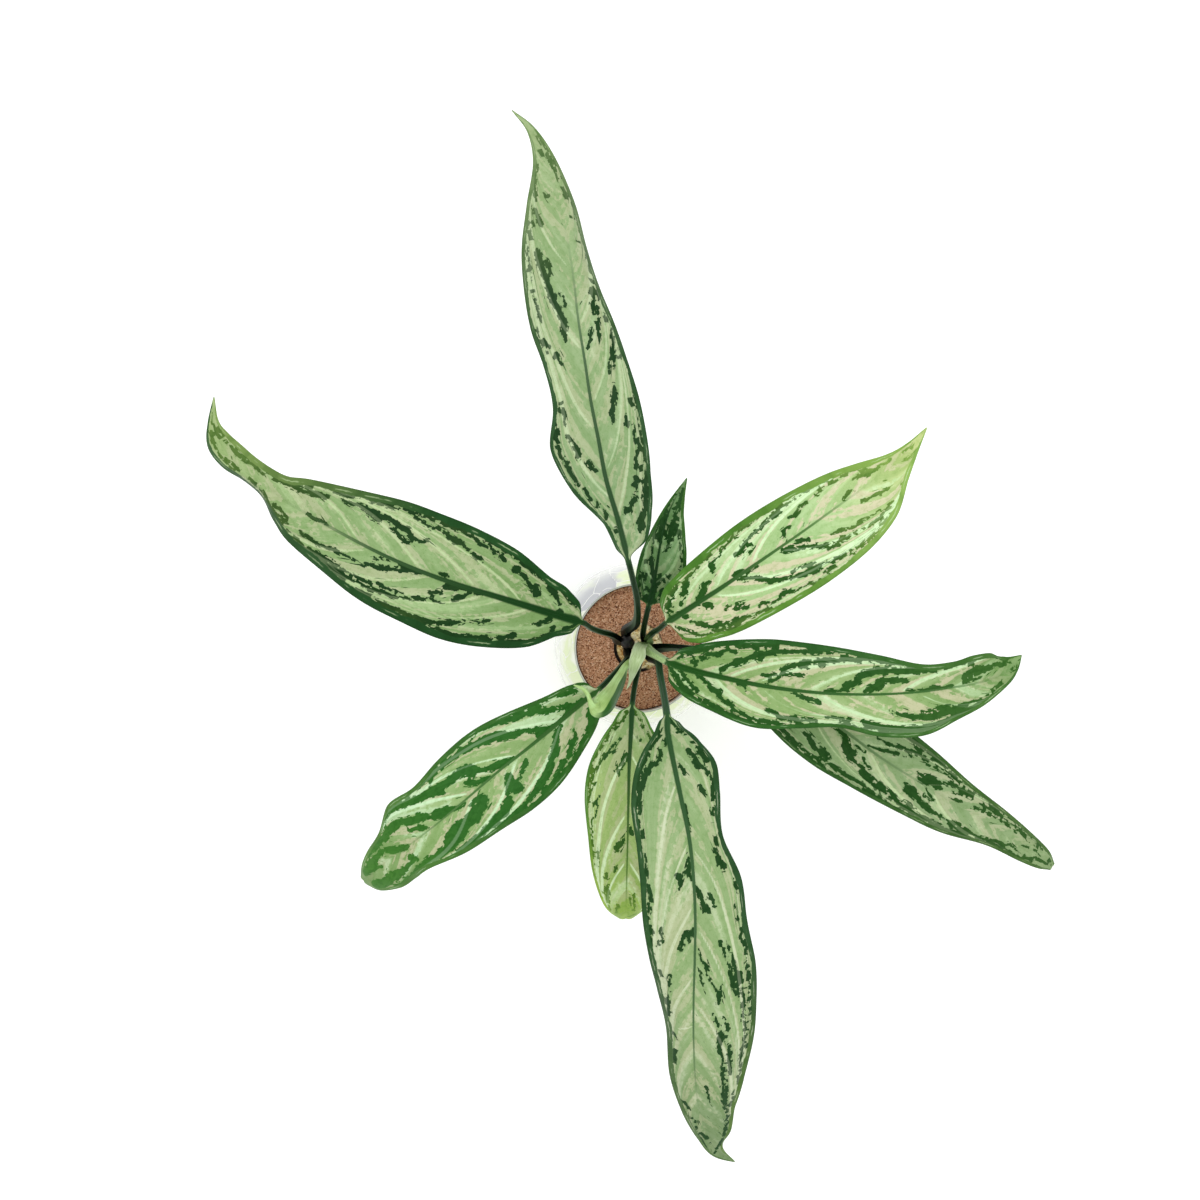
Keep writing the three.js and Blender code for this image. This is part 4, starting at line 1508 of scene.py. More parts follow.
@dataclass
class CorkDisc(Part):
    """The ring of pressed cork crumbs that covers the substrate."""

    name: str = "cork_ring"
    node: str = "cork_disc"
    slot: str = "cork"
    bottom: float = 100.3
    thickness: float = 6
    outer: float = 51.4
    inner: float = 20.5
    edge: float = 0.4
    columns: int = 360
    crumb: float = 0.18

    def build(self) -> Piece:
        """Makes the ring: a flat section with eased edges turned about +Z, its skin pitted by crumbs.

        Returns:
            The finished piece.
        """
        top = self.bottom + self.thickness
        quarter = np.linspace(0, np.pi / 2, 5)
        across = np.linspace(self.outer - self.edge, self.inner + self.edge, 56)[1:-1]
        wall = np.linspace(self.bottom + 0.8, top - self.edge - 0.4, 5)
        section = np.concatenate([
            np.stack([np.linspace(self.inner, self.outer, 8), np.full(8, self.bottom)], axis=1),
            np.stack([np.full(5, self.outer), wall], axis=1),
            np.stack([self.outer - self.edge + self.edge * np.cos(quarter),
                      top - self.edge + self.edge * np.sin(quarter)], axis=1),
            np.stack([across, np.full(len(across), top)], axis=1),
            np.stack([self.inner + self.edge - self.edge * np.sin(quarter),
                      top - self.edge + self.edge * np.cos(quarter)], axis=1),
            np.stack([np.full(5, self.inner), wall[::-1]], axis=1),
        ])
        turn, radius, height = turn_section(section, self.columns)
        flat = round_points(turn, radius, height).reshape(-1, 3)
        rough = value_noise(flat / 1.3, 31) + 0.7 * value_noise(flat / 0.75, 32)
        middle = np.array([(self.outer + self.inner) / 2, self.bottom + self.thickness / 2])
        off = np.stack([radius, height], axis=-1) - middle
        push = unit(off / [1.0, 0.2]).reshape(-1, 2)
        raised = (height.ravel() > self.bottom + 0.2) * self.crumb * (rough - 0.6)
        round_axis = np.stack([np.cos(turn), np.sin(turn)], axis=-1).reshape(-1, 2)
        flat = flat + np.concatenate([round_axis * push[:, :1], push[:, 1:]], axis=1) * raised[:, None]
        rows = len(section)
        quads = tube_faces(rows + 1, self.columns) % (rows * self.columns)
        piece = make_piece(self.name, flat, quads, materials=(self.paint(),))
        hand_in(piece, self.slot, self.node)
        return piece

    def paint(self) -> Material:
        """Paints light and dark crumbs.

        Returns:
            The finish.
        """
        paint = Painter(f"{self.name}_crumbs")
        place = paint.place()
        tone = paint.parts(paint.cells(place, 1150.0, {}, "Color"))[0]
        fine = paint.noise(place, 1700.0, 2.0)
        large = paint.noise(place, 300.0, 2.0)
        colour = paint.cover(
            rgb(172, 116, 84),
            (tone.rise(0.0, 1.0), rgb(230, 174, 138)),
            (tone.rise(0.84, 0.9) * 0.8, rgb(244, 204, 172)),
            (tone.rise(0.17, 0.11) * 0.85, rgb(104, 62, 44)),
        )
        colour = paint.multiply(colour, (0.88, 0.86, 0.84), large.rise(0.4, 0.65))
        relief = paint.bump(fine + tone * 0.5, 0.0005, 0.5)
        return paint.finish(colour, 0.9, relief, Specular_IOR_Level=0.2)


@dataclass
class Substrate(Part):
    """The coarse chips that show in the disc's hole, and the fill under them."""

    name: str = "substrate_chips"
    node: str = "soil"
    slot: str = "substrate"
    radius: float = 20.2
    level: float = 100.4
    mound: float = 1.5
    count: int = 420
    chip: float = 3.4
    rim_shadow_start: float = 17.4
    rim_shadow_end: float = 18.4
    seed: int = 77

    def build(self) -> Piece:
        """Scatters the chips over the mound; each is a ball squashed and broken by noise.

        Returns:
            The finished piece.
        """
        fill = self.finish(chips=False)
        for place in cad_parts[self.node].material_slots:
            place.material = fill
        draw = np.random.default_rng(self.seed)
        ball, faces = self.ball()
        away = self.radius * np.sqrt(draw.random(self.count))
        angle = draw.random(self.count) * 2 * np.pi
        size = self.chip * (0.45 + 0.75 * draw.random((self.count, 1)) ** 2)
        stretch = 0.5 + draw.random((self.count, 3)) * 0.8
        turn = self.turns(draw)
        rise = self.mound * (1 - away / self.radius) + draw.random(self.count) * 1.1
        centre = np.stack([away * np.cos(angle), away * np.sin(angle), self.level + rise], axis=1)
        corners = np.stack(np.indices((self.count, len(ball))), axis=-1).reshape(-1, 2)
        jag = 1 + 0.3 * hashed(corners, 41).reshape(self.count, -1, 1)
        chips = (ball[None] * jag) * (stretch * size)[:, None]
        points = np.einsum("nij,nkj->nki", turn, chips) + centre[:, None]
        triangles = (faces[None] + (np.arange(self.count) * len(ball))[:, None, None]).reshape(-1, 3)
        # Painted light: chips are lighter towards +X, the right side of the hole in the picture
        lit = 0.3 * np.cos(angle) * away / self.radius
        tone = np.repeat(0.7 * draw.random(self.count) + 0.3 + lit, len(ball))
        quads = np.zeros((0, 4), np.int64)
        piece = make_piece(self.name, points.reshape(-1, 3), quads, triangles, {"tone": tone},
                           (self.finish(chips=True),))
        piece.data.shade_flat()
        hand_in(piece, self.slot)
        return piece

    def ball(self) -> tuple[Array, Whole]:
        """Makes a ball of twenty triangles.

        Returns:
            Its corners, and its faces as three corners each.
        """
        golden = (1 + math.sqrt(5)) / 2
        pairs = [(a, b) for a in (-1, 1) for b in (-golden, golden)]
        corners = [corner for a, b in pairs for corner in ((0, a, b), (a, b, 0), (b, 0, a))]
        points = unit(np.array(corners, float))
        gaps = np.linalg.norm(points[:, None] - points[None], axis=-1)
        edge = np.sort(gaps[0])[1] * 1.01
        faces = [(i, j, k) for i in range(12) for j in range(i + 1, 12) for k in range(j + 1, 12)
                 if max(gaps[i, j], gaps[j, k], gaps[i, k]) < edge]
        out = []
        for i, j, k in faces:
            facing = np.dot(np.cross(points[j] - points[i], points[k] - points[i]), points[i])
            out.append((i, j, k) if facing > 0 else (i, k, j))
        return points, np.array(out, np.int64)

    def turns(self, draw: np.random.Generator) -> Array:
        """Draws a random turn for each chip, about +X and then about +Z.

        Args:
            draw: where the random numbers come from.

        Returns:
            One matrix a chip.
        """
        angles = draw.random((self.count, 3)) * 2 * np.pi
        cos, sin = np.cos(angles), np.sin(angles)
        one, nil = np.ones(self.count), np.zeros(self.count)
        about_x = np.array([[one, nil, nil], [nil, cos[:, 0], -sin[:, 0]], [nil, sin[:, 0], cos[:, 0]]])
        about_z = np.array([[cos[:, 2], -sin[:, 2], nil], [sin[:, 2], cos[:, 2], nil], [nil, nil, one]])
        return np.einsum("ijn,jkn->nik", about_x, about_z)

    def finish(self, chips: bool) -> Material:
        """Paints husk and bark: cream, gold and brown by the chip, or all together on the fill, with a
        painted shadow and painted light in the disc's hole.

        Args:
            chips: whether it is the loose chips' finish, and not the fill's.

        Returns:
            The finish.
        """
        paint = Painter("substrate_chip_skin" if chips else "substrate_fill")
        place = paint.place()
        mottle = paint.noise(place, 500.0, 4.0, 0.6)
        if chips:
            tone = paint.node("ShaderNodeAttribute", {"attribute_name": "tone"}, out="Fac")
        else:
            tone = paint.noise(place, 220.0, 2.0)
        colour = paint.cover(
            rgb(188, 138, 76),
            (tone.rise(0.1, 0.6), rgb(246, 224, 170)),
            (tone.rise(0.5, 0.8), rgb(255, 246, 214)),
        )
        colour = paint.multiply(colour, (0.8, 0.68, 0.5), mottle.rise(0.52, 0.7))
        away = paint.from_axis(place)
        towards = {0: place, 1: (-0.7, -0.7, 0)}
        side = paint.node("ShaderNodeVectorMath", {"operation": "DOT_PRODUCT"}, towards, 1)
        # Painted shadow: the chips just inside the disc's hole turn near black on its lower-left side
        gap = away.rise(self.rim_shadow_start * MM, self.rim_shadow_end * MM) * side.rise(0.004, 0.009)
        colour = paint.mix(gap, colour, rgb(24, 18, 12))
        # Painted light: the chips are lifted above their own colour against the shade in the hole
        colour = paint.multiply(colour, (1.24, 1.22, 1.14))
        return paint.finish(colour, 0.92, paint.bump(mottle, 0.0008, 0.8))


# The nine leaves


SHAPES = {
    "leaf_north": LeafShape(
        root=(-9.9, 5.6, 112),
        stalk=((-11.3, 14.3, 128), (-10.5, 17.2, 150), (-4.4, 24, 178), (-4.9, 39, 210), (-8.8, 53.5, 240)),
        sheath=3.8,
        wing=2.2,
        blade=(
            (-13, 67, 263, 3, 3, 0, 0),
            (-20, 93, 275, 9.8, 23.4, 2, 2),
            (-28, 119, 284, 24.5, 30, 2, 2),
            (-33, 144, 291, 32, 31.5, 1, 1),
            (-38, 169, 295, 25, 31, 4, 0),
            (-42, 195, 298, 27, 27, 1, -4),
            (-46, 220, 299, 31.5, 22.5, 0, -8),
            (-49, 246, 298, 32.6, 16, 2, -13),
            (-53, 273, 295, 30, 12, 3, -13),
            (-59, 301, 290, 21.6, 10.5, 3, -8),
            (-67, 330, 284, 9.8, 6, 1, -3),
            (-78, 352, 278, 2.8, 3.2, 0, 0),
            (-91, 368, 273, 0.4, 0.4, 0, 0),
        ),
        wave=(1.6, 3.5, 0.1),
    ),
    "leaf_west": LeafShape(
        root=(-10.2, 4.6, 112),
        stalk=((-18, 6.4, 126), (-20, 9.6, 144), (-25, 13, 160), (-32, 15.5, 182), (-39, 19, 205)),
        sheath=3.2,
        wing=2.6,
        blade=(
            (-45, 23.5, 225, 3, 3, 0, 0),
            (-60, 28, 233, 15, 19, 2, 3),
            (-76, 33, 241, 28, 24.5, 1, 3),
            (-101, 41, 251, 36, 35.2, 0, 2),
            (-128, 49.5, 259, 39.3, 40.5, -2, 0),
            (-154, 59, 264, 37.2, 41.5, -3, -1),
            (-181, 71, 266, 35, 39.5, -3, 0),
            (-209, 85.5, 264, 29.3, 32, -3, 2),
            (-237, 101, 259, 23.2, 22.5, -4, 4),
            (-252, 109.5, 255, 15.8, 16, -7, 4),
            (-266, 118.5, 251, 7.2, 14, -9, 3),
            (-280, 129, 247, 6, 13, -7, 2),
            (-292, 140, 243, 9.2, 12, -4, 0),
            (-301, 152, 239, 9.2, 9, -2, -1),
            (-306, 165, 235, 3.6, 4.6, 0, 0),
            (-307, 184, 230, 0.4, 0.4, 0, 0),
        ),
        wave=(1.4, 3, 0.35),
    ),
    "leaf_north_small": LeafShape(
        root=(4.8, -1.4, 108),
        stalk=((4.5, 7.2, 118), (2.4, 12.5, 142), (2.6, 22.5, 172)),
        sheath=2.5,
        blade=(
            (4.2, 35.5, 201, 2.6, 2.6, 0, 0),
            (6, 46.5, 213, 11.5, 14, 3, 3),
            (8, 60.5, 228, 14, 20, 5, 5),
            (9.5, 74.5, 243, 12.6, 19.4, 5, 5),
            (11.5, 87.5, 257, 8.6, 16, 4, 5),
            (14.5, 99, 271, 4.8, 11.6, 3, 4),
            (19, 109, 285, 2.2, 6.2, 1, 2),
            (24, 118, 299, 0.4, 0.4, 0, 0),
        ),
        wave=(0.8, 2, 0.2),
    ),
    "leaf_north_east": LeafShape(
        root=(4.6, -0.8, 112),
        stalk=((8.4, 4.8, 126), (6.6, 9.4, 148), (9, 14.4, 170), (12, 17.5, 190), (14, 21, 214)),
        sheath=2.8,
        blade=(
            (16, 24, 231, 3.4, 3.4, 0, 0),
            (24, 29.5, 243, 19, 22, 4, 4),
            (36, 38, 254, 24, 28.5, 4, 4),
            (50, 47.5, 264, 27, 32.5, 3, 4),
            (74, 65, 280, 29, 35.5, 2, 2),
            (98, 82.5, 293, 27.5, 36.5, 1, 0),
            (122, 100.5, 303, 22.5, 34.5, 2, -2),
            (140, 114, 309, 15.5, 27.5, 4, -2),
            (154, 126, 312, 7.5, 14, 2, -1),
            (164, 136, 314, 3.4, 6, 0, 0),
            (174, 148, 315, 0.4, 0.4, 0, 0),
        ),
        wave=(1.3, 3, 0.6),
    ),
    "leaf_east": LeafShape(
        root=(3.4, 0.8, 131),
        stalk=((4.6, 1, 141.5), (7.4, -0.8, 166), (11.3, -2.6, 196)),
        sheath=4.4,
        wing=1.0,
        blade=(
            (17, -5, 229, 4.6, 3, 0, 0),
            (30, -9, 245, 16.6, 17.5, 1, 3),
            (50, -13, 262, 25.2, 24, 0, 3),
            (75, -17.5, 277, 31.2, 28.5, 0, 1),
            (100, -20.5, 286, 32, 25, 1, -4),
            (125, -22, 291, 30.2, 22.5, 2, -6),
            (151, -22, 293, 25.5, 28, 5, -2),
            (177, -20.5, 292, 18.5, 29, 7, 0),
            (198, -18, 289, 17, 22, 5, 1),
            (216, -15.5, 285, 18.6, 15.8, 1, 0),
            (234, -10.5, 280, 15.8, 9.2, -2, -1),
            (243, -5, 277, 8.8, 5.2, 0, 0),
            (250, 2.5, 275, 0.4, 0.4, 0, 0),
        ),
        wave=(1.5, 3, 0.85),
    ),
    "leaf_south_east": LeafShape(
        root=(5.4, -2.2, 100),
        stalk=((12.7, -2.4, 112), (14.5, -0.5, 131), (20, 1.5, 151), (32, 3, 178), (46, 2, 198)),
        sheath=4.6,
        wing=2.2,
        blade=(
            (64, -3, 212, 3, 3, 0, 0),
            (84, -13, 223, 18, 18.8, 3, 3),
            (110, -31.5, 231, 28, 29.8, 2, 2),
            (138, -51, 236, 31, 32.8, 0, 0),
            (165, -71, 238, 28.5, 28.9, -1, -2),
            (194, -89.5, 237, 24.5, 26, -2, -3),
            (223, -107, 233, 18.5, 22.9, -3, -4),
            (254, -126, 226, 15, 14, -4, -4),
            (278, -142, 218, 12, 10, -4, -3),
            (293, -151.5, 211, 8.4, 7, -3, -2),
            (301, -157, 205, 3, 3, 0, 0),
        ),
        wave=(1.4, 3, 0.5),
    ),
    "leaf_south": LeafShape(
        root=(4.8, -1.6, 106),
        stalk=((8.4, -8, 118), (11.2, -8.4, 140), (13.4, -10, 162), (13.4, -17.5, 186), (14, -29, 222)),
        sheath=2.7,
        blade=(
            (14.3, -40.5, 252, 2.8, 2.6, 0, 0),
            (14, -50, 262, 12.5, 8.5, 1, 2),
            (15.5, -60, 270, 20.4, 18.5, 2, 3),
            (18, -74, 279, 27.6, 28, 1, 2),
            (21.5, -92, 287, 26, 33.5, -4, 1),
            (26, -116, 295, 22.4, 34.5, -6, 0),
            (28.5, -142, 299, 31, 34.5, -1, 0),
            (29.5, -168, 299, 33.6, 33.8, 0, 0),
            (29.5, -195, 295, 39.4, 29.4, 0, -3),
            (29.5, -224, 287, 41.5, 23, 0, -8),
            (30.5, -255, 276, 40.6, 17.4, 0, -12),
            (33, -288, 262, 33.6, 17, 0, -9),
            (37, -315, 250, 25.8, 12.4, 0, -5),
            (44.5, -338, 239, 17.6, 8.6, 0, -2),
            (51, -352, 232, 5.5, 5, 0, 0),
            (64.5, -363, 226, 0.4, 0.4, 0, 0),
        ),
        wave=(1.6, 4, 0.15),
    ),
    "leaf_south_low": LeafShape(
        root=(5.0, -2.4, 102),
        stalk=((2, -9, 112), (0.2, -10.6, 129), (-2.4, -17.6, 150), (-6, -29, 178)),
        sheath=2.4,
        blade=(
            (-8, -39, 196, 2.6, 2.6, 0, 0),
            (-9, -53, 206, 14, 14, 2, 2),
            (-10, -67, 213, 22.5, 23, 1, 1),
            (-11, -84, 219, 28, 29.8, -1, -1),
            (-11.5, -105, 222, 29, 31.6, -3, -3),
            (-12, -134, 219, 27.5, 28.6, -4, -4),
            (-12.3, -159, 210, 25, 26, -5, -5),
            (-12.4, -179, 199, 21, 21.6, -4, -4),
            (-12.3, -195, 186, 14.4, 15, -2, -2),
            (-12.2, -205.5, 171, 5, 5, 0, 0),
        ),
        wave=(1, 2.5, 0.7),
    ),
    "leaf_south_west": LeafShape(
        root=(-9.2, 3.8, 106),
        stalk=((-10.2, -4, 118), (-10.2, -7.6, 136), (-16.3, -13.4, 156), (-24.4, -20.2, 178)),
        sheath=2.5,
        blade=(
            (-33.5, -27.5, 198, 2.8, 2.8, 0, 0),
            (-44, -35, 208, 17.5, 15, 2, 2),
            (-61, -48.5, 220, 27, 21.5, 1, 3),
            (-82, -65, 230, 34.8, 29.6, -1, 1),
            (-103, -81, 236, 36.5, 34.2, -2, 0),
            (-124, -99, 238, 32.8, 34, -2, -2),
            (-145, -117, 235, 29.4, 30.6, -3, -3),
            (-166, -134, 228, 22, 32, 1, -6),
            (-181, -146, 220, 22.5, 20, -4, -2),
            (-194, -157, 210, 22, 15, -4, -3),
            (-204, -166, 199, 15, 9, -2, -2),
            (-210, -171, 189, 5, 3, 0, 0),
        ),
        wave=(1.5, 3, 0.4),
    ),
}

# Dark marks on the leaves


NORTH_MARKS = (
    (106, 64, 13, 115, 53, 14, 124, 43, 8), (135, 66, 13, 138, 57, 16, 146, 55, 8), (153, 65, 16, 162, 67,
    18, 174, 66, 8), (187, 75, 14, 196, 73, 17, 208, 77, 15, 225, 77, 13, 240, 80, 12, 258, 83, 10, 272, 87,
    6), (202, 20, 15, 210, 26, 16, 223, 31, 20), (236, 50, 14, 243, 44, 18, 256, 48, 16, 270, 53, 11, 279,
    60, 16, 283, 64, 12), (279, 89, 10, 290, 92, 12, 302, 94, 7), (293, 82, 10, 300, 87, 8, 310, 93, 10,
    320, 97, 12), (320, 97, 12, 336, 97, 12), (304, 70, 10, 315, 68, 10, 326, 70, 9, 332, 74, 15, 334, 81,
    15), (464, 88, 10, 480, 88, 12, 502, 89, 12), (420, 56, 9, 428, 60, 12, 438, 63, 20, 443, 63, 14), (534,
    22, 10, 546, 25, 12, 557, 29, 8), (467, 36, 12, 480, 35, 20, 496, 30, 28, 510, 32, 24, 525, 36, 20, 540,
    43, 20, 560, 49, 22, 580, 52, 20), (580, 52, 20, 600, 56, 22, 615, 60, 26, 635, 63, 23, 655, 67, 18),
    (596, 44, 12, 610, 45, 14, 628, 49, 16, 625, 56, 15), (510, 73, 7, 525, 77, 6, 545, 80, 7, 560, 82, 6),
    (590, 81, 5, 610, 82, 9, 630, 85, 7, 650, 87, 9, 670, 90, 9, 690, 95, 6), (710, 74, 10, 722, 79, 10),
    (708, 92, 13, 725, 94, 13), (708, 56, 12, 720, 60, 14, 730, 64, 16, 748, 69, 10), (735, 76, 10, 750, 80,
    10, 760, 83, 6), (766, 67, 10, 780, 73, 12, 795, 78, 14, 815, 81, 14, 834, 78, 10, 855, 76, 8), (772,
    30, 10, 770, 38, 12, 780, 43, 8), (60, -66, 20, 70, -67, 26, 80, -68, 20, 90, -76, 20, 100, -80, 18,
    115, -80, 23, 130, -82, 20, 150, -85, 16), (150, -85, 16, 170, -88, 10, 200, -90, 7, 240, -89, 8, 280,
    -88, 7, 320, -91, 6, 360, -93, 5), (75, -59, 15), (103, -22, 7, 110, -26, 14, 106, -34, 16, 114, -41,
    14, 120, -48, 18, 126, -54, 18, 133, -51, 8), (143, -62, 10, 154, -62, 18, 158, -55, 14, 160, -66, 20,
    172, -64, 16), (188, -69, 10, 200, -70, 14, 212, -70, 13, 220, -73, 14, 228, -78, 12), (238, -78, 7,
    245, -74, 10, 260, -76, 8, 278, -79, 6), (293, -37, 12, 305, -39, 18, 313, -38, 16, 325, -43, 14, 340,
    -49, 20, 355, -52, 18, 366, -54, 9), (280, -63, 13, 298, -65, 13), (420, -86, 10, 435, -89, 8, 455, -94,
    5), (392, -51, 9, 404, -53, 14, 412, -55, 12, 418, -61, 12), (395, -60, 4, 410, -66, 6, 420, -68, 8,
    430, -71, 16, 438, -74, 14, 450, -79, 10, 470, -82, 10, 490, -88, 5), (445, -12, 7, 455, -20, 10, 465,
    -24, 11, 478, -29, 16), (448, -42, 7, 464, -47, 13, 480, -50, 10, 500, -56, 9, 520, -64, 8, 530, -66,
    5), (495, -46, 4, 510, -48, 8, 524, -50, 15, 536, -51, 16, 538, -55, 8), (545, -62, 12, 560, -62, 22,
    570, -68, 18, 560, -74, 13, 565, -80, 16, 545, -78, 8), (515, -90, 5, 540, -92, 8, 565, -93, 6, 600,
    -98, 4), (610, -85, 12, 635, -90, 14, 660, -93, 12, 680, -93, 8), (705, -92, 9, 725, -93, 11, 735, -92,
    10), (750, -83, 9, 765, -82, 8, 785, -85, 9, 800, -82, 11, 816, -83, 10), (795, -28, 5, 810, -27, 7,
    830, -32, 10, 850, -28, 12, 868, -27, 10), (840, -80, 8, 860, -78, 10, 880, -72, 12), (880, -72, 12,
    900, -68, 12, 920, -60, 12),
)

WEST_MARKS = (
    (62, 50, 10, 66, 58, 13, 68, 66, 8), (70, 72, 8, 76, 78, 14, 84, 84, 20, 100, 88, 26, 120, 88, 20), (74,
    17, 16, 82, 26, 16, 90, 30, 14, 100, 35, 12, 109, 38, 8), (140, 64, 12, 144, 71, 22, 154, 73, 16, 164,
    78, 20), (164, 78, 20, 173, 78, 18), (180, 85, 7, 192, 84, 14), (194, 78, 10, 210, 81, 16, 225, 83, 16,
    245, 86, 16, 265, 87, 12, 290, 88, 8, 310, 90, 6), (200, 46, 8, 212, 50, 13, 225, 53, 11, 242, 54, 7),
    (233, 3, 14, 244, 7, 12), (252, 4, 8, 262, 12, 10, 268, 18, 18, 276, 23, 18, 283, 28, 12), (260, 3, 10,
    280, 5, 14, 295, 8, 18, 306, 9, 16), (249, 58, 8, 260, 61, 14, 272, 67, 18, 285, 70, 18, 296, 72, 16),
    (306, 37, 6, 318, 39, 10, 331, 41, 8), (312, 22, 8, 322, 25, 16, 332, 30, 10), (300, 74, 8, 315, 79, 16,
    330, 80, 13, 343, 78, 10), (340, 45, 5, 350, 47, 10, 360, 52, 8, 376, 57, 10, 390, 62, 12, 402, 63, 18,
    416, 64, 15, 430, 68, 10), (430, 68, 10, 446, 72, 10, 465, 71, 9, 485, 73, 13, 500, 77, 18, 520, 78, 17,
    540, 78, 15), (346, 84, 10, 360, 82, 16, 378, 82, 18, 395, 84, 22, 410, 83, 16, 424, 82, 10), (375, 92,
    20, 390, 93, 26, 406, 90, 14, 425, 90, 8), (380, 49, 6, 395, 52, 9, 413, 53, 13, 431, 53, 9), (438, 61,
    9, 452, 60, 10, 470, 62, 9, 486, 64, 9, 505, 66, 13, 525, 67, 14, 550, 69, 16, 570, 70, 14), (455, 87,
    8, 470, 90, 8, 490, 91, 7, 510, 92, 8), (385, 3, 14, 405, 3, 16), (360, 2, 10, 380, 6, 12, 395, 10, 13,
    408, 14, 12, 423, 20, 14, 440, 25, 16, 456, 27, 12, 472, 30, 5), (420, 4, 4, 440, 8, 9, 450, 10, 7, 460,
    13, 4), (464, 35, 5, 480, 36, 7, 500, 36, 6, 520, 39, 7, 540, 41, 10, 560, 47, 12, 580, 52, 14, 600, 51,
    12), (600, 51, 12, 620, 53, 10), (540, 78, 15, 560, 80, 26, 580, 80, 28, 600, 82, 18, 620, 80, 20, 640,
    84, 16), (640, 84, 16, 660, 85, 18, 675, 82, 20, 685, 80, 18), (570, 97, 13, 590, 98, 16, 620, 98, 15,
    650, 97, 10), (652, 54, 6, 665, 57, 10, 680, 60, 10, 700, 63, 10, 704, 50, 10, 700, 38, 10), (660, 43,
    5, 670, 38, 9, 680, 35, 12, 690, 38, 10), (576, -3, 7, 595, -1, 8, 610, 1, 9, 625, -1, 7), (700, 90, 14,
    715, 80, 12, 730, 70, 10), (820, 60, 5, 835, 45, 8, 850, 40, 10, 870, 40, 8, 890, 42, 7), (910, 42, 5,
    923, 25, 7, 913, 12, 4), (56, -15, 15, 64, -18, 10), (68, -40, 10, 76, -50, 10, 82, -58, 14, 85, -65,
    12), (115, -40, 10, 125, -34, 14, 125, -42, 26), (32, -72, 15, 45, -72, 18, 55, -80, 16, 70, -88, 20,
    90, -95, 20), (93, -60, 14, 96, -68, 18, 102, -72, 22, 100, -80, 20, 106, -87, 18), (125, -42, 26, 130,
    -50, 26, 140, -48, 20, 152, -55, 14, 162, -60, 12, 172, -63, 13, 182, -63, 26), (182, -63, 26, 178, -70,
    18), (210, -69, 14, 216, -72, 14), (232, -72, 10, 230, -77, 14, 242, -78, 14), (123, -86, 10, 134, -84,
    10, 144, -85, 18), (156, -85, 16, 170, -85, 16, 182, -88, 18, 196, -88, 15), (214, -90, 20, 230, -90,
    18, 250, -90, 14), (251, -50, 6, 263, -55, 16, 272, -56, 10, 285, -61, 8, 300, -65, 10, 310, -69, 20,
    320, -66, 20, 333, -69, 20), (333, -69, 20, 344, -73, 14, 354, -76, 10, 366, -77, 6), (250, -78, 10,
    268, -79, 14, 285, -83, 12, 300, -85, 8, 310, -86, 5), (312, -8, 12, 325, -7, 13), (320, -85, 9, 340,
    -86, 8, 360, -88, 7, 390, -88, 7, 420, -90, 7), (370, -51, 10, 382, -47, 15, 396, -44, 14, 402, -44, 9),
    (373, -72, 10, 385, -75, 10, 400, -76, 10, 415, -80, 8, 435, -83, 6), (406, -37, 8, 416, -35, 12, 428,
    -39, 10, 440, -45, 8, 455, -47, 7), (408, -46, 8, 416, -53, 22, 425, -55, 24, 440, -56, 16, 456, -60,
    20, 472, -61, 16, 486, -60, 22), (486, -60, 22, 500, -63, 20, 515, -65, 18, 530, -68, 16, 550, -66, 16,
    568, -68, 12), (480, -51, 14, 494, -52, 12, 510, -58, 9), (460, -82, 10, 475, -83, 12, 495, -83, 9, 515,
    -83, 11, 530, -86, 7, 550, -84, 8, 570, -85, 5), (600, -64, 14, 615, -64, 18, 630, -60, 16, 645, -58,
    16, 660, -58, 14, 670, -62, 16, 685, -65, 10), (685, -65, 10, 700, -65, 11, 720, -67, 10, 735, -72, 6,
    750, -75, 4, 780, -82, 4), (755, -50, 6, 768, -53, 7, 785, -56, 5, 800, -56, 6, 815, -53, 12, 830, -50,
    14, 850, -50, 10, 865, -57, 6), (898, -62, 10, 910, -62, 14, 924, -50, 12),
)

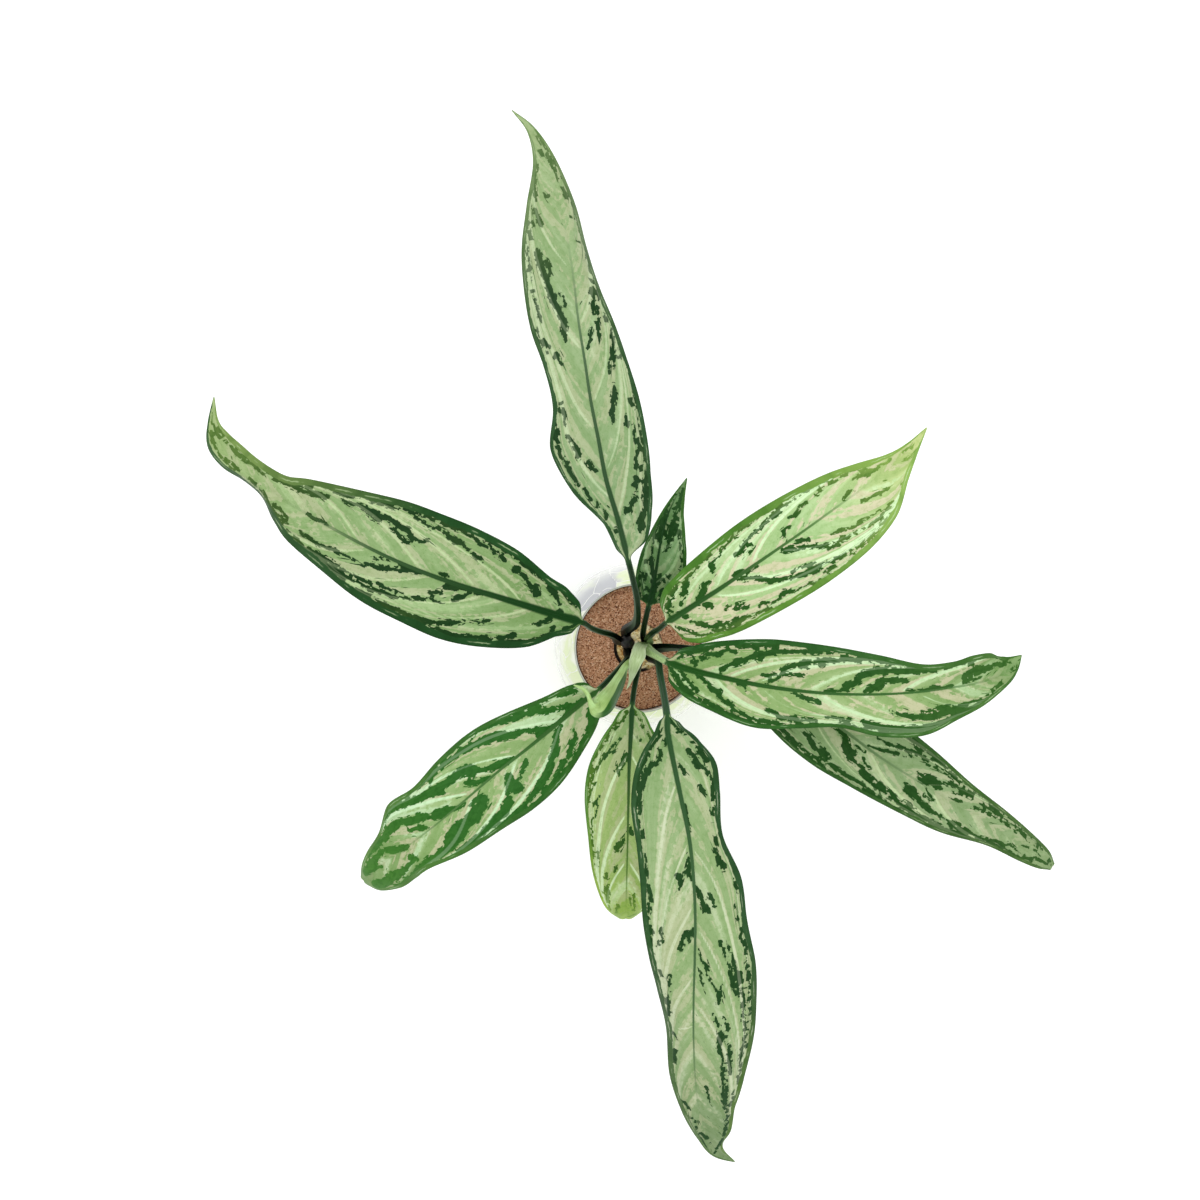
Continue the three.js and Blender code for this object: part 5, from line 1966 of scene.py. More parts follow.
NORTH_SMALL_MARKS = (
    (60, 50, 30, 80, 35, 24), (120, 20, 10, 140, 30, 14, 160, 37, 10), (200, 45, 8, 230, 48, 12, 270, 50,
    9), (240, 62, 10, 280, 64, 12), (80, 85, 14, 140, 90, 12, 200, 85, 16, 260, 88, 16, 320, 92, 10, 400,
    93, 8), (180, 2, 10, 240, 10, 12, 300, 22, 16, 360, 30, 18, 400, 36, 12, 440, 40, 9, 480, 45, 8, 520,
    50, 9, 580, 55, 10, 640, 58, 9, 700, 63, 12, 780, 70, 12, 860, 68, 10), (560, 72, 8, 640, 74, 9), (500,
    3, 10, 540, 15, 16, 580, 22, 22, 620, 25, 24, 660, 20, 20, 700, 28, 16, 730, 35, 8), (560, 2, 12, 640,
    4, 12), (50, -30, 25, 100, -12, 20, 160, -10, 15, 240, -16, 16, 270, -20, 10), (110, -45, 16, 130, -45,
    12), (150, -45, 16, 170, -50, 10), (240, -30, 14, 230, -42, 10), (275, -47, 18, 285, -50, 14), (445,
    -22, 8, 470, -28, 12, 500, -30, 14, 560, -30, 18, 600, -33, 24, 640, -36, 24, 680, -40, 18), (680, -40,
    18, 720, -38, 10, 760, -40, 10, 820, -43, 14, 880, -50, 16, 920, -50, 18), (540, -45, 8, 580, -48, 8,
    610, -55, 9, 630, -63, 8, 660, -60, 10, 680, -55, 10), (560, -15, 12, 640, -18, 12), (355, -80, 8, 380,
    -84, 8, 440, -84, 7, 500, -88, 6), (490, -75, 8, 530, -75, 8, 570, -73, 6, 600, -78, 10, 640, -82, 8),
    (780, -62, 8, 840, -58, 8), (380, -93, 5, 500, -95, 6, 600, -97, 5), (120, -80, 16, 180, -85, 14, 240,
    -80, 12, 280, -85, 20, 330, -90, 16),
)

NORTH_EAST_MARKS = (
    (36, 25, 10, 36, 40, 12), (46, 35, 12, 48, 50, 14, 56, 30, 10), (98, 22, 10, 108, 28, 12), (45, 50, 14,
    58, 55, 18, 70, 53, 20, 70, 45, 14), (55, 62, 14, 70, 62, 12, 85, 66, 12), (98, 62, 16, 103, 70, 18,
    115, 73, 14, 125, 75, 12, 135, 78, 9, 146, 79, 6), (126, 50, 20, 128, 42, 14, 140, 48, 24, 150, 58, 24,
    162, 62, 22, 168, 68, 16), (170, 74, 12, 190, 72, 16, 210, 75, 12, 230, 79, 12, 250, 81, 10, 270, 83,
    10, 290, 85, 8), (63, 6, 15, 72, 8, 10), (152, 9, 8, 165, 12, 14, 180, 16, 24, 194, 20, 26, 200, 30, 20,
    210, 38, 12), (205, 30, 14, 228, 30, 8), (170, 3, 14, 178, 6, 16), (252, 46, 8, 265, 50, 16, 263, 58,
    14, 275, 65, 16, 290, 65, 12, 305, 65, 8, 310, 68, 10), (310, 68, 10, 320, 73, 12, 340, 76, 13, 360, 77,
    13, 370, 81, 13, 386, 79, 13, 400, 84, 10, 415, 84, 8), (415, 84, 8, 435, 83, 6, 450, 84, 9, 470, 87,
    6), (300, 6, 12, 310, 9, 12, 320, 8, 12, 338, 6, 6), (346, 44, 14, 360, 42, 16, 375, 46, 15, 390, 48,
    14, 400, 47, 12, 406, 40, 10, 398, 33, 10, 384, 30, 10), (378, 54, 5, 390, 56, 8, 410, 57, 9, 425, 60,
    12, 438, 62, 14, 450, 61, 12, 470, 67, 10, 485, 68, 9), (485, 68, 9, 500, 71, 14, 520, 71, 15, 532, 70,
    8), (535, 80, 6, 550, 77, 10, 570, 77, 10, 590, 79, 7, 610, 82, 6, 630, 84, 11, 650, 86, 12, 670, 87,
    10, 688, 86, 10), (483, 15, 8, 495, 15, 14, 505, 22, 12, 500, 29, 10, 515, 29, 10, 532, 28, 9), (543,
    46, 7, 556, 44, 13, 570, 48, 15, 584, 54, 10, 600, 57, 9, 610, 57, 11), (643, 60, 10, 658, 63, 12, 670,
    64, 9), (692, 68, 6, 710, 70, 8, 725, 74, 10, 740, 72, 9, 755, 80, 8), (698, 6, 12, 708, 12, 14, 720,
    18, 12, 728, 15, 8), (746, 46, 10, 765, 49, 10, 785, 45, 22, 800, 43, 20, 815, 40, 16), (820, 44, 10,
    840, 43, 8, 865, 48, 6), (760, 78, 8, 780, 80, 15, 800, 80, 14, 820, 77, 10, 840, 76, 6), (35, -38, 8,
    50, -44, 12, 62, -52, 16, 75, -60, 14, 85, -68, 13, 100, -76, 13, 120, -80, 10, 140, -84, 8), (80, -14,
    14, 94, -17, 10), (98, -34, 7, 110, -38, 10, 115, -46, 14, 128, -50, 18, 138, -57, 18), (138, -57, 18,
    146, -64, 16, 156, -68, 16, 170, -67, 22, 185, -68, 22, 186, -74, 14), (203, -70, 10, 206, -78, 16, 223,
    -75, 20, 240, -75, 20, 255, -76, 16, 272, -80, 12, 290, -83, 10), (290, -83, 10, 315, -84, 10, 335, -84,
    9, 355, -87, 5), (165, -13, 14, 175, -17, 22, 188, -22, 18), (242, -51, 8, 250, -54, 12, 265, -56, 16,
    280, -60, 16), (220, -43, 12, 233, -40, 12, 248, -42, 10, 260, -47, 12, 272, -50, 10, 285, -55, 10, 293,
    -57, 10), (140, -90, 5, 170, -88, 6, 200, -87, 7, 230, -86, 6), (313, -70, 12, 325, -68, 12, 340, -73,
    12, 354, -78, 8, 370, -79, 8, 385, -76, 16, 400, -73, 20), (400, -73, 20, 418, -77, 20, 435, -80, 14,
    450, -83, 10, 475, -83, 9, 490, -86, 6), (305, -5, 12, 320, -10, 16, 335, -14, 16, 350, -19, 10, 362,
    -20, 6), (340, -4, 8, 360, -6, 10, 380, -6, 8), (350, -22, 6, 362, -27, 10, 372, -31, 10, 385, -38, 16,
    398, -40, 12, 388, -43, 12, 405, -46, 12), (405, -46, 12, 420, -50, 10, 435, -54, 12, 450, -58, 16, 465,
    -60, 14, 485, -63, 20, 505, -63, 22), (505, -63, 22, 525, -66, 16, 545, -66, 10, 560, -72, 10, 580, -74,
    16, 596, -78, 14), (465, -5, 10, 475, -10, 20, 490, -11, 26, 505, -18, 12, 520, -22, 10), (520, -22, 10,
    535, -25, 16, 550, -32, 14, 565, -38, 16, 580, -43, 18, 595, -46, 8), (490, -17, 16), (515, -8, 8, 530,
    -12, 12, 546, -17, 12, 538, -24, 12), (580, -50, 10, 595, -54, 10, 615, -55, 10, 630, -52, 16, 638, -57,
    14, 655, -55, 6), (613, -32, 7, 626, -36, 12, 642, -38, 12, 655, -42, 8, 668, -48, 8, 682, -49, 8, 696,
    -48, 13), (696, -48, 13, 713, -53, 12, 730, -56, 9, 755, -58, 7), (662, -58, 6, 680, -60, 5, 700, -64,
    5, 716, -66, 10, 735, -69, 12, 755, -68, 9, 775, -70, 9), (775, -70, 9, 795, -69, 9), (732, -20, 8, 746,
    -23, 12, 762, -25, 10, 775, -30, 12, 790, -34, 12, 805, -40, 8, 814, -43, 5), (455, -49, 6, 475, -50, 9,
    500, -53, 12, 525, -56, 8), (500, -70, 10, 520, -73, 10, 535, -73, 6), (480, -86, 9, 500, -88, 9, 520,
    -88, 7, 540, -92, 8), (605, -80, 10, 630, -80, 10, 660, -83, 10, 700, -84, 10, 730, -84, 9, 760, -84, 8,
    790, -85, 7), (895, -30, 5, 915, -48, 7, 935, -70, 7),
)

EAST_MARKS = (
    (40, 80, 16, 60, 80, 24, 80, 80, 30, 100, 80, 32, 120, 82, 30, 140, 87, 26, 160, 92, 24, 190, 95, 26,
    220, 97, 20), (220, 97, 20, 260, 95, 16, 300, 94, 16, 360, 95, 12), (38, 40, 10, 48, 52, 10, 54, 48, 8),
    (90, 30, 12, 102, 31, 22, 100, 42, 12, 98, 50, 8), (115, 48, 10, 125, 45, 10, 135, 50, 12), (135, 58,
    10, 146, 60, 16, 160, 62, 18, 170, 60, 22, 175, 68, 20, 190, 73, 16, 205, 73, 14, 215, 70, 12), (215,
    82, 12, 230, 85, 14, 250, 83, 14, 275, 84, 12, 290, 86, 10, 310, 88, 8, 330, 88, 7), (182, 12, 10, 185,
    20, 18, 195, 27, 12, 205, 33, 12, 215, 40, 18, 230, 45, 20, 245, 50, 20, 255, 56, 20), (255, 56, 20,
    265, 60, 20, 278, 65, 26, 288, 66, 30, 300, 68, 20, 313, 72, 24, 330, 75, 18, 348, 76, 18), (348, 76,
    18, 360, 79, 10, 373, 80, 14, 383, 80, 16, 395, 82, 10, 410, 83, 16, 430, 83, 14, 448, 84, 10), (448,
    84, 10, 470, 86, 8), (285, 56, 20), (296, 22, 6, 310, 24, 10, 324, 27, 12, 335, 28, 8), (310, 10, 8,
    322, 14, 12, 332, 17, 10, 340, 23, 12, 344, 30, 13, 350, 40, 18, 360, 46, 18, 372, 50, 16), (372, 50,
    16, 386, 54, 16, 400, 58, 22, 412, 60, 16, 424, 63, 10, 435, 66, 12, 450, 68, 20, 470, 71, 18), (470,
    71, 18, 485, 72, 16, 500, 75, 14, 520, 78, 16, 540, 79, 14), (390, 50, 14, 410, 53, 10), (445, 60, 16),
    (350, 31, 8, 365, 32, 6, 385, 34, 8, 403, 35, 10), (455, 4, 8, 470, 7, 8, 485, 8, 7, 500, 9, 10, 510,
    12, 16, 515, 20, 24, 525, 26, 24, 535, 33, 20), (535, 33, 20, 540, 42, 16, 550, 50, 22, 565, 52, 24,
    580, 58, 20, 600, 60, 18, 618, 65, 20, 635, 66, 20), (635, 66, 20, 655, 70, 18, 680, 75, 16, 705, 79,
    16, 725, 76, 16), (500, 20, 10, 508, 24, 14), (530, 38, 16), (580, 67, 16, 600, 66, 20), (552, 8, 12,
    565, 14, 26, 580, 20, 30, 592, 22, 20, 585, 33, 18, 605, 37, 20, 620, 38, 20, 638, 40, 18), (638, 40,
    18, 655, 40, 12, 660, 43, 6), (480, 95, 16, 520, 95, 16, 550, 95, 14, 580, 97, 18, 620, 95, 24), (620,
    95, 24, 650, 93, 20), (490, 80, 12, 520, 83, 10, 540, 86, 10, 560, 84, 8, 585, 87, 12, 605, 87, 18),
    (605, 87, 18, 625, 88, 16, 645, 88, 12), (660, 83, 14, 680, 85, 12, 700, 90, 8), (720, 85, 16, 740, 86,
    14, 760, 84, 12, 780, 85, 12, 800, 87, 12), (800, 87, 12, 820, 90, 14, 850, 90, 14), (700, 97, 10, 750,
    98, 12, 800, 99, 10, 850, 98, 10), (660, 8, 7, 680, 7, 7, 700, 8, 8, 710, 11, 9, 725, 12, 9, 740, 7, 8,
    760, 6, 8, 776, 5, 9), (840, 30, 14, 865, 35, 10, 880, 38, 8), (808, 33, 12, 820, 42, 26, 835, 48, 22,
    855, 46, 24, 875, 46, 16, 895, 48, 14, 910, 50, 16), (910, 50, 16, 930, 48, 14, 945, 42, 10), (810, 16,
    10, 825, 20, 18, 840, 17, 10, 855, 19, 7, 862, 22, 5), (900, 95, 10, 930, 85, 15, 960, 80, 15), (30,
    -40, 14, 45, -42, 16, 60, -55, 20, 80, -70, 22, 100, -80, 22, 120, -86, 20, 140, -93, 20, 160, -96, 16),
    (40, -20, 6, 65, -24, 10, 80, -30, 10, 95, -42, 13, 110, -48, 11, 120, -57, 14, 132, -60, 12), (110,
    -10, 6, 125, -15, 9, 140, -21, 10, 155, -27, 10, 165, -33, 14, 170, -38, 20, 185, -40, 22, 195, -40,
    16), (195, -40, 16, 195, -50, 20, 205, -57, 16, 220, -60, 16, 232, -64, 18, 242, -70, 12, 256, -73, 12),
    (256, -73, 12, 270, -76, 14, 285, -78, 10, 300, -83, 10, 315, -82, 16, 330, -83, 12, 346, -86, 12),
    (346, -86, 12, 365, -88, 10), (160, -83, 16, 180, -80, 16, 200, -84, 16, 220, -86, 14, 240, -87, 14,
    270, -88, 13, 300, -90, 12, 330, -93, 10), (240, -6, 14, 255, -10, 12, 260, -16, 5), (320, -53, 10, 333,
    -58, 14, 344, -62, 12, 348, -68, 10, 360, -73, 12, 375, -74, 10, 387, -68, 12), (387, -68, 12, 385, -78,
    10, 400, -79, 12, 420, -77, 10, 440, -78, 8), (375, -5, 5, 390, -11, 9, 405, -15, 11, 420, -21, 14, 435,
    -23, 13, 445, -27, 9), (380, -87, 4, 410, -88, 6, 440, -89, 6), (380, -95, 10, 440, -95, 12, 500, -96,
    12), (465, -68, 6, 480, -71, 7, 500, -70, 8, 520, -67, 8), (615, -36, 7, 623, -42, 10, 633, -48, 9, 650,
    -50, 14, 665, -53, 18), (665, -53, 18, 685, -53, 16, 705, -58, 20, 725, -60, 24, 745, -60, 30, 765, -63,
    26, 785, -65, 16), (785, -65, 16, 805, -62, 14, 825, -62, 12, 840, -68, 10), (688, -42, 4, 705, -45, 10,
    720, -42, 10, 740, -45, 13, 760, -50, 10), (720, -53, 20), (550, -70, 12, 560, -75, 24, 580, -76, 26,
    600, -78, 24, 620, -80, 24, 650, -82, 30, 680, -82, 28, 710, -82, 24), (710, -82, 24, 740, -84, 20, 770,
    -82, 18, 800, -80, 18, 830, -80, 16, 860, -80, 16, 890, -84, 14), (500, -90, 14, 530, -92, 18, 570, -95,
    16, 620, -95, 20, 660, -93, 16), (965, -60, 8, 970, -40, 8),
)

SOUTH_EAST_MARKS = (
    (200, -83, 14, 230, -82, 18, 260, -84, 12, 300, -86, 9, 340, -88, 8), (200, -93, 16, 250, -95, 14, 350,
    -94, 14, 450, -94, 15, 500, -92, 20, 540, -94, 16, 600, -97, 14, 660, -95, 16, 760, -97, 10), (345, -77,
    16, 370, -79, 18, 400, -80, 18, 430, -79, 20, 460, -83, 16, 490, -86, 14), (252, -55, 16, 265, -54, 20,
    276, -60, 24, 288, -64, 20, 302, -67, 16, 320, -70, 24, 338, -70, 16), (296, -56, 12, 315, -60, 12, 330,
    -63, 18), (315, -77, 14, 330, -78, 18), (295, -8, 10, 315, -8, 16, 335, -6, 20, 342, -14, 26, 350, -24,
    32, 363, -32, 36, 375, -27, 22), (368, -11, 10, 395, -11, 10), (370, -42, 20, 390, -43, 16, 410, -46,
    16, 420, -50, 18), (400, -24, 8, 410, -30, 14, 420, -36, 15, 428, -33, 9), (415, -56, 20, 430, -58, 30,
    445, -60, 20), (435, -47, 9, 450, -52, 11, 465, -56, 16, 483, -57, 10, 498, -61, 12, 512, -68, 18),
    (512, -68, 18, 525, -76, 20, 540, -78, 24, 560, -79, 24, 580, -82, 20, 600, -84, 18, 650, -84, 18, 700,
    -83, 18, 730, -87, 14, 780, -86, 10), (453, -65, 20, 470, -68, 18, 490, -70, 14), (538, -66, 14, 555,
    -68, 18, 570, -70, 12), (518, -24, 14, 530, -28, 24, 545, -26, 20), (572, -23, 12, 590, -25, 10, 600,
    -22, 9), (588, -40, 14), (526, -36, 22, 545, -37, 28, 560, -40, 26, 570, -46, 18, 585, -47, 24, 600,
    -52, 24, 610, -54, 20), (615, -54, 12, 635, -50, 13), (630, -57, 9, 650, -56, 12, 670, -57, 16, 690,
    -53, 22), (670, -63, 14, 690, -65, 16, 710, -62, 20, 730, -68, 18, 750, -70, 16, 770, -70, 18, 805, -72,
    16, 838, -72, 13), (845, -90, 10, 850, -75, 14, 870, -80, 18, 890, -80, 14), (830, -30, 6, 845, -31, 10,
    860, -38, 8, 885, -45, 9, 903, -53, 12, 920, -63, 10), (395, 6, 8, 410, 11, 9, 430, 17, 10, 445, 25, 14,
    460, 31, 14, 480, 35, 8), (400, 33, 10, 420, 36, 12, 440, 40, 10, 450, 47, 16, 480, 56, 16, 500, 60, 15,
    520, 64, 12, 560, 68, 8, 600, 76, 8), (490, 46, 5, 520, 50, 6, 540, 54, 6, 560, 60, 9, 580, 62, 7, 605,
    69, 8, 620, 74, 12, 640, 77, 8), (460, 80, 14, 480, 84, 20, 500, 86, 24, 520, 83, 10, 570, 87, 12, 600,
    86, 8), (480, 95, 16, 520, 94, 12, 580, 94, 14, 640, 96, 12, 760, 97, 10), (640, 85, 9, 680, 85, 10,
    720, 84, 12, 760, 86, 10, 840, 85, 10, 870, 85, 8), (530, 20, 10, 545, 20, 12), (540, 7, 18, 560, 8, 18,
    575, 5, 10), (555, 23, 34, 570, 25, 38, 583, 20, 36, 596, 20, 20), (596, 40, 14, 606, 43, 18, 620, 50,
    20, 635, 54, 16, 650, 53, 26, 670, 57, 22, 680, 55, 14), (625, 31, 8, 635, 31, 10, 646, 38, 14, 655, 45,
    16), (630, 12, 6, 645, 15, 10, 660, 20, 10, 666, 24, 5), (693, 20, 6, 698, 28, 14, 710, 32, 16, 723, 34,
    9), (710, 40, 8, 735, 38, 9, 760, 40, 8, 790, 46, 6, 820, 45, 8, 835, 47, 10), (703, 52, 8, 718, 56, 16,
    735, 58, 16, 755, 59, 12, 800, 62, 8, 840, 64, 8, 860, 62, 14, 875, 70, 9, 890, 75, 8), (872, 6, 6, 885,
    10, 6, 902, 20, 7, 915, 24, 10, 940, 12, 7), (910, 70, 10, 920, 80, 14, 927, 90, 12), (80, 50, 30, 120,
    60, 30), (140, -40, 30, 170, -50, 20), (220, 50, 30, 250, 60, 20), (280, 70, 30, 310, 80, 20),
)

SOUTH_MARKS = (
    (36, 55, 12, 45, 52, 12, 50, 60, 10, 42, 72, 14), (88, 80, 22, 100, 77, 20, 115, 80, 18), (90, 48, 14,
    98, 48, 16, 102, 57, 12, 113, 54, 30, 123, 58, 26, 125, 65, 18, 133, 71, 16, 143, 76, 14, 151, 81, 12),
    (110, 13, 10, 120, 17, 14, 130, 21, 14), (153, 87, 14, 163, 85, 12, 170, 90, 14, 190, 90, 10), (160, 51,
    10, 166, 50, 12, 170, 58, 12, 178, 65, 12), (203, 80, 16, 210, 76, 16, 213, 80, 12), (190, 5, 12, 200,
    5, 10, 225, 4, 12, 235, 4, 10), (270, 63, 16, 283, 66, 16, 293, 64, 20, 300, 70, 20, 308, 68, 10), (330,
    3, 8, 340, 8, 12, 352, 12, 14, 365, 18, 14, 375, 20, 12), (365, 23, 14, 380, 28, 8), (342, 29, 8, 352,
    31, 12, 365, 38, 10), (365, 78, 4, 385, 80, 8, 400, 85, 8, 415, 86, 7), (415, 82, 8, 425, 84, 13, 440,
    86, 10, 460, 84, 8, 480, 85, 11, 490, 88, 8, 510, 89, 7, 540, 89, 6, 570, 91, 4), (432, 56, 4, 443, 58,
    8, 460, 62, 7, 480, 66, 10, 500, 68, 14, 518, 73, 10, 535, 76, 12, 560, 78, 14, 585, 79, 14), (585, 79,
    14, 600, 80, 16, 620, 82, 12, 640, 84, 12, 660, 84, 12, 680, 82, 18, 700, 82, 14, 720, 85, 10, 740, 86,
    8, 760, 88, 5), (488, 72, 16, 505, 73, 18), (428, 44, 7, 440, 46, 8, 460, 51, 10, 480, 56, 10, 500, 60,
    12, 520, 63, 16, 536, 68, 14, 545, 73, 10), (445, 6, 4, 465, 12, 6, 476, 19, 14, 485, 23, 12), (480, 17,
    6, 500, 23, 6, 515, 29, 8, 523, 35, 12, 532, 38, 18, 546, 40, 18, 554, 38, 8), (512, 42, 6, 535, 43,
    10), (495, 9, 9, 510, 13, 11, 522, 17, 6), (575, 31, 6, 590, 34, 9, 605, 39, 10, 620, 42, 16, 640, 43,
    16, 655, 42, 20, 670, 45, 16, 685, 49, 12, 705, 51, 14, 725, 53, 14), (725, 53, 14, 745, 55, 14, 770,
    57, 16, 790, 60, 14, 810, 63, 12, 830, 68, 10), (583, 45, 5, 595, 50, 10, 610, 55, 14, 620, 52, 10, 640,
    52, 6), (650, 57, 10, 670, 60, 14, 690, 62, 16, 710, 65, 16, 730, 68, 10), (740, 61, 6, 760, 66, 8, 780,
    65, 14, 800, 67, 14, 820, 72, 10, 840, 75, 8, 860, 78, 6, 880, 77, 7), (758, 20, 8, 770, 24, 10, 785,
    26, 8, 800, 28, 4), (773, 83, 5, 790, 85, 9, 810, 88, 9, 830, 93, 7), (875, 64, 6, 890, 68, 10, 910, 68,
    12, 925, 60, 10, 940, 55, 8), (55, -8, 12, 62, -16, 16, 70, -22, 10), (35, -45, 10, 43, -50, 10, 48,
    -60, 8), (76, -45, 12, 80, -38, 14, 90, -36, 12, 100, -40, 14, 106, -48, 14, 103, -57, 18, 112, -63, 18,
    120, -70, 20, 130, -74, 22, 140, -80, 18, 155, -82, 18, 170, -85, 16), (85, -80, 16, 95, -78, 16, 105,
    -82, 16, 120, -88, 18, 140, -93, 16), (280, -6, 8, 295, -6, 16, 310, -8, 18, 318, -4, 8), (305, -14, 16,
    312, -18, 10), (312, -27, 26, 318, -24, 16, 330, -28, 6, 340, -33, 4), (410, -5, 12, 420, -6, 14, 415,
    -13, 20, 425, -13, 16, 432, -12, 7), (410, -18, 10, 422, -25, 12, 435, -27, 14, 446, -32, 13, 452, -33,
    7), (402, -67, 12, 410, -70, 10, 422, -66, 10, 433, -67, 12, 425, -72, 10, 436, -74, 6), (266, -88, 12,
    280, -87, 10, 300, -88, 14, 315, -90, 10, 330, -94, 10, 350, -96, 10), (356, -87, 8, 370, -87, 12, 390,
    -91, 10, 410, -88, 13, 430, -90, 12, 450, -92, 13, 470, -92, 10, 490, -95, 9, 510, -97, 9), (160, -95,
    16, 190, -92, 16, 215, -93, 16, 240, -95, 14, 280, -97, 16, 320, -100, 16), (498, -57, 12, 510, -62, 10,
    525, -63, 10, 535, -66, 6), (540, -73, 5, 555, -73, 9, 570, -73, 9, 585, -77, 7, 600, -82, 9), (848,
    -43, 6, 856, -52, 6, 870, -58, 6, 890, -65, 7, 910, -67, 8, 935, -70, 8), (830, -85, 6, 855, -85, 7,
    880, -87, 7, 910, -92, 6),
)

SOUTH_LOW_MARKS = (
    (215, -17, 10, 230, -17, 18, 245, -20, 16, 255, -27, 12, 270, -34, 10), (240, -10, 10, 260, -18, 8, 280,
    -24, 8, 290, -25, 6), (210, -8, 14, 230, -7, 14), (145, -36, 10, 155, -42, 10), (195, -42, 10, 205, -48,
    10), (173, -53, 10, 190, -56, 10, 205, -60, 8, 215, -66, 14, 230, -70, 12, 245, -73, 8, 255, -79, 8,
    280, -83, 10, 320, -86, 10, 350, -87, 8, 380, -91, 7, 410, -93, 6), (365, -66, 7, 375, -70, 10, 390,
    -76, 10, 410, -78, 7), (380, -65, 5, 400, -69, 6, 425, -75, 6, 445, -80, 6, 460, -87, 6, 500, -89, 7,
    550, -90, 6, 600, -91, 5, 660, -93, 4), (115, -84, 6, 145, -86, 10, 160, -83, 12), (170, -88, 8, 200,
    -90, 9, 220, -92, 7), (530, -12, 16, 545, -13, 18, 548, -22, 22, 560, -27, 24, 575, -28, 14), (635, -30,
    7, 648, -34, 10, 660, -31, 10, 675, -35, 6), (685, -57, 12, 695, -58, 20, 708, -60, 16), (578, -73, 6,
    592, -79, 8, 610, -80, 10, 630, -77, 10, 660, -78, 5), (740, -57, 6, 755, -62, 12, 770, -63, 22, 785,
    -62, 22, 800, -64, 16, 820, -68, 10, 850, -72, 8, 880, -77, 6, 910, -85, 6), (850, -33, 10, 870, -36,
    14, 885, -44, 10, 910, -46, 8), (140, -98, 12, 200, -97, 8, 260, -95, 6, 420, -97, 5, 500, -97, 8), (40,
    -42, 14, 60, -42, 12, 78, -52, 8, 85, -66, 9, 95, -82, 10), (70, 52, 12), (90, 62, 10, 100, 56, 12),
    (125, 70, 10, 145, 72, 10), (140, 27, 8, 150, 34, 9), (30, 10, 16, 40, 20, 14, 50, 35, 10), (485, 6, 18,
    500, 8, 16, 510, 10, 10), (785, 26, 6, 810, 26, 7, 840, 32, 9, 870, 37, 8, 895, 38, 10), (800, 13, 6,
    830, 15, 5, 860, 20, 5), (200, 50, 15, 220, 60, 12), (300, 50, 16), (420, 60, 16, 440, 66, 10), (600,
    50, 16), (700, 60, 14),
)

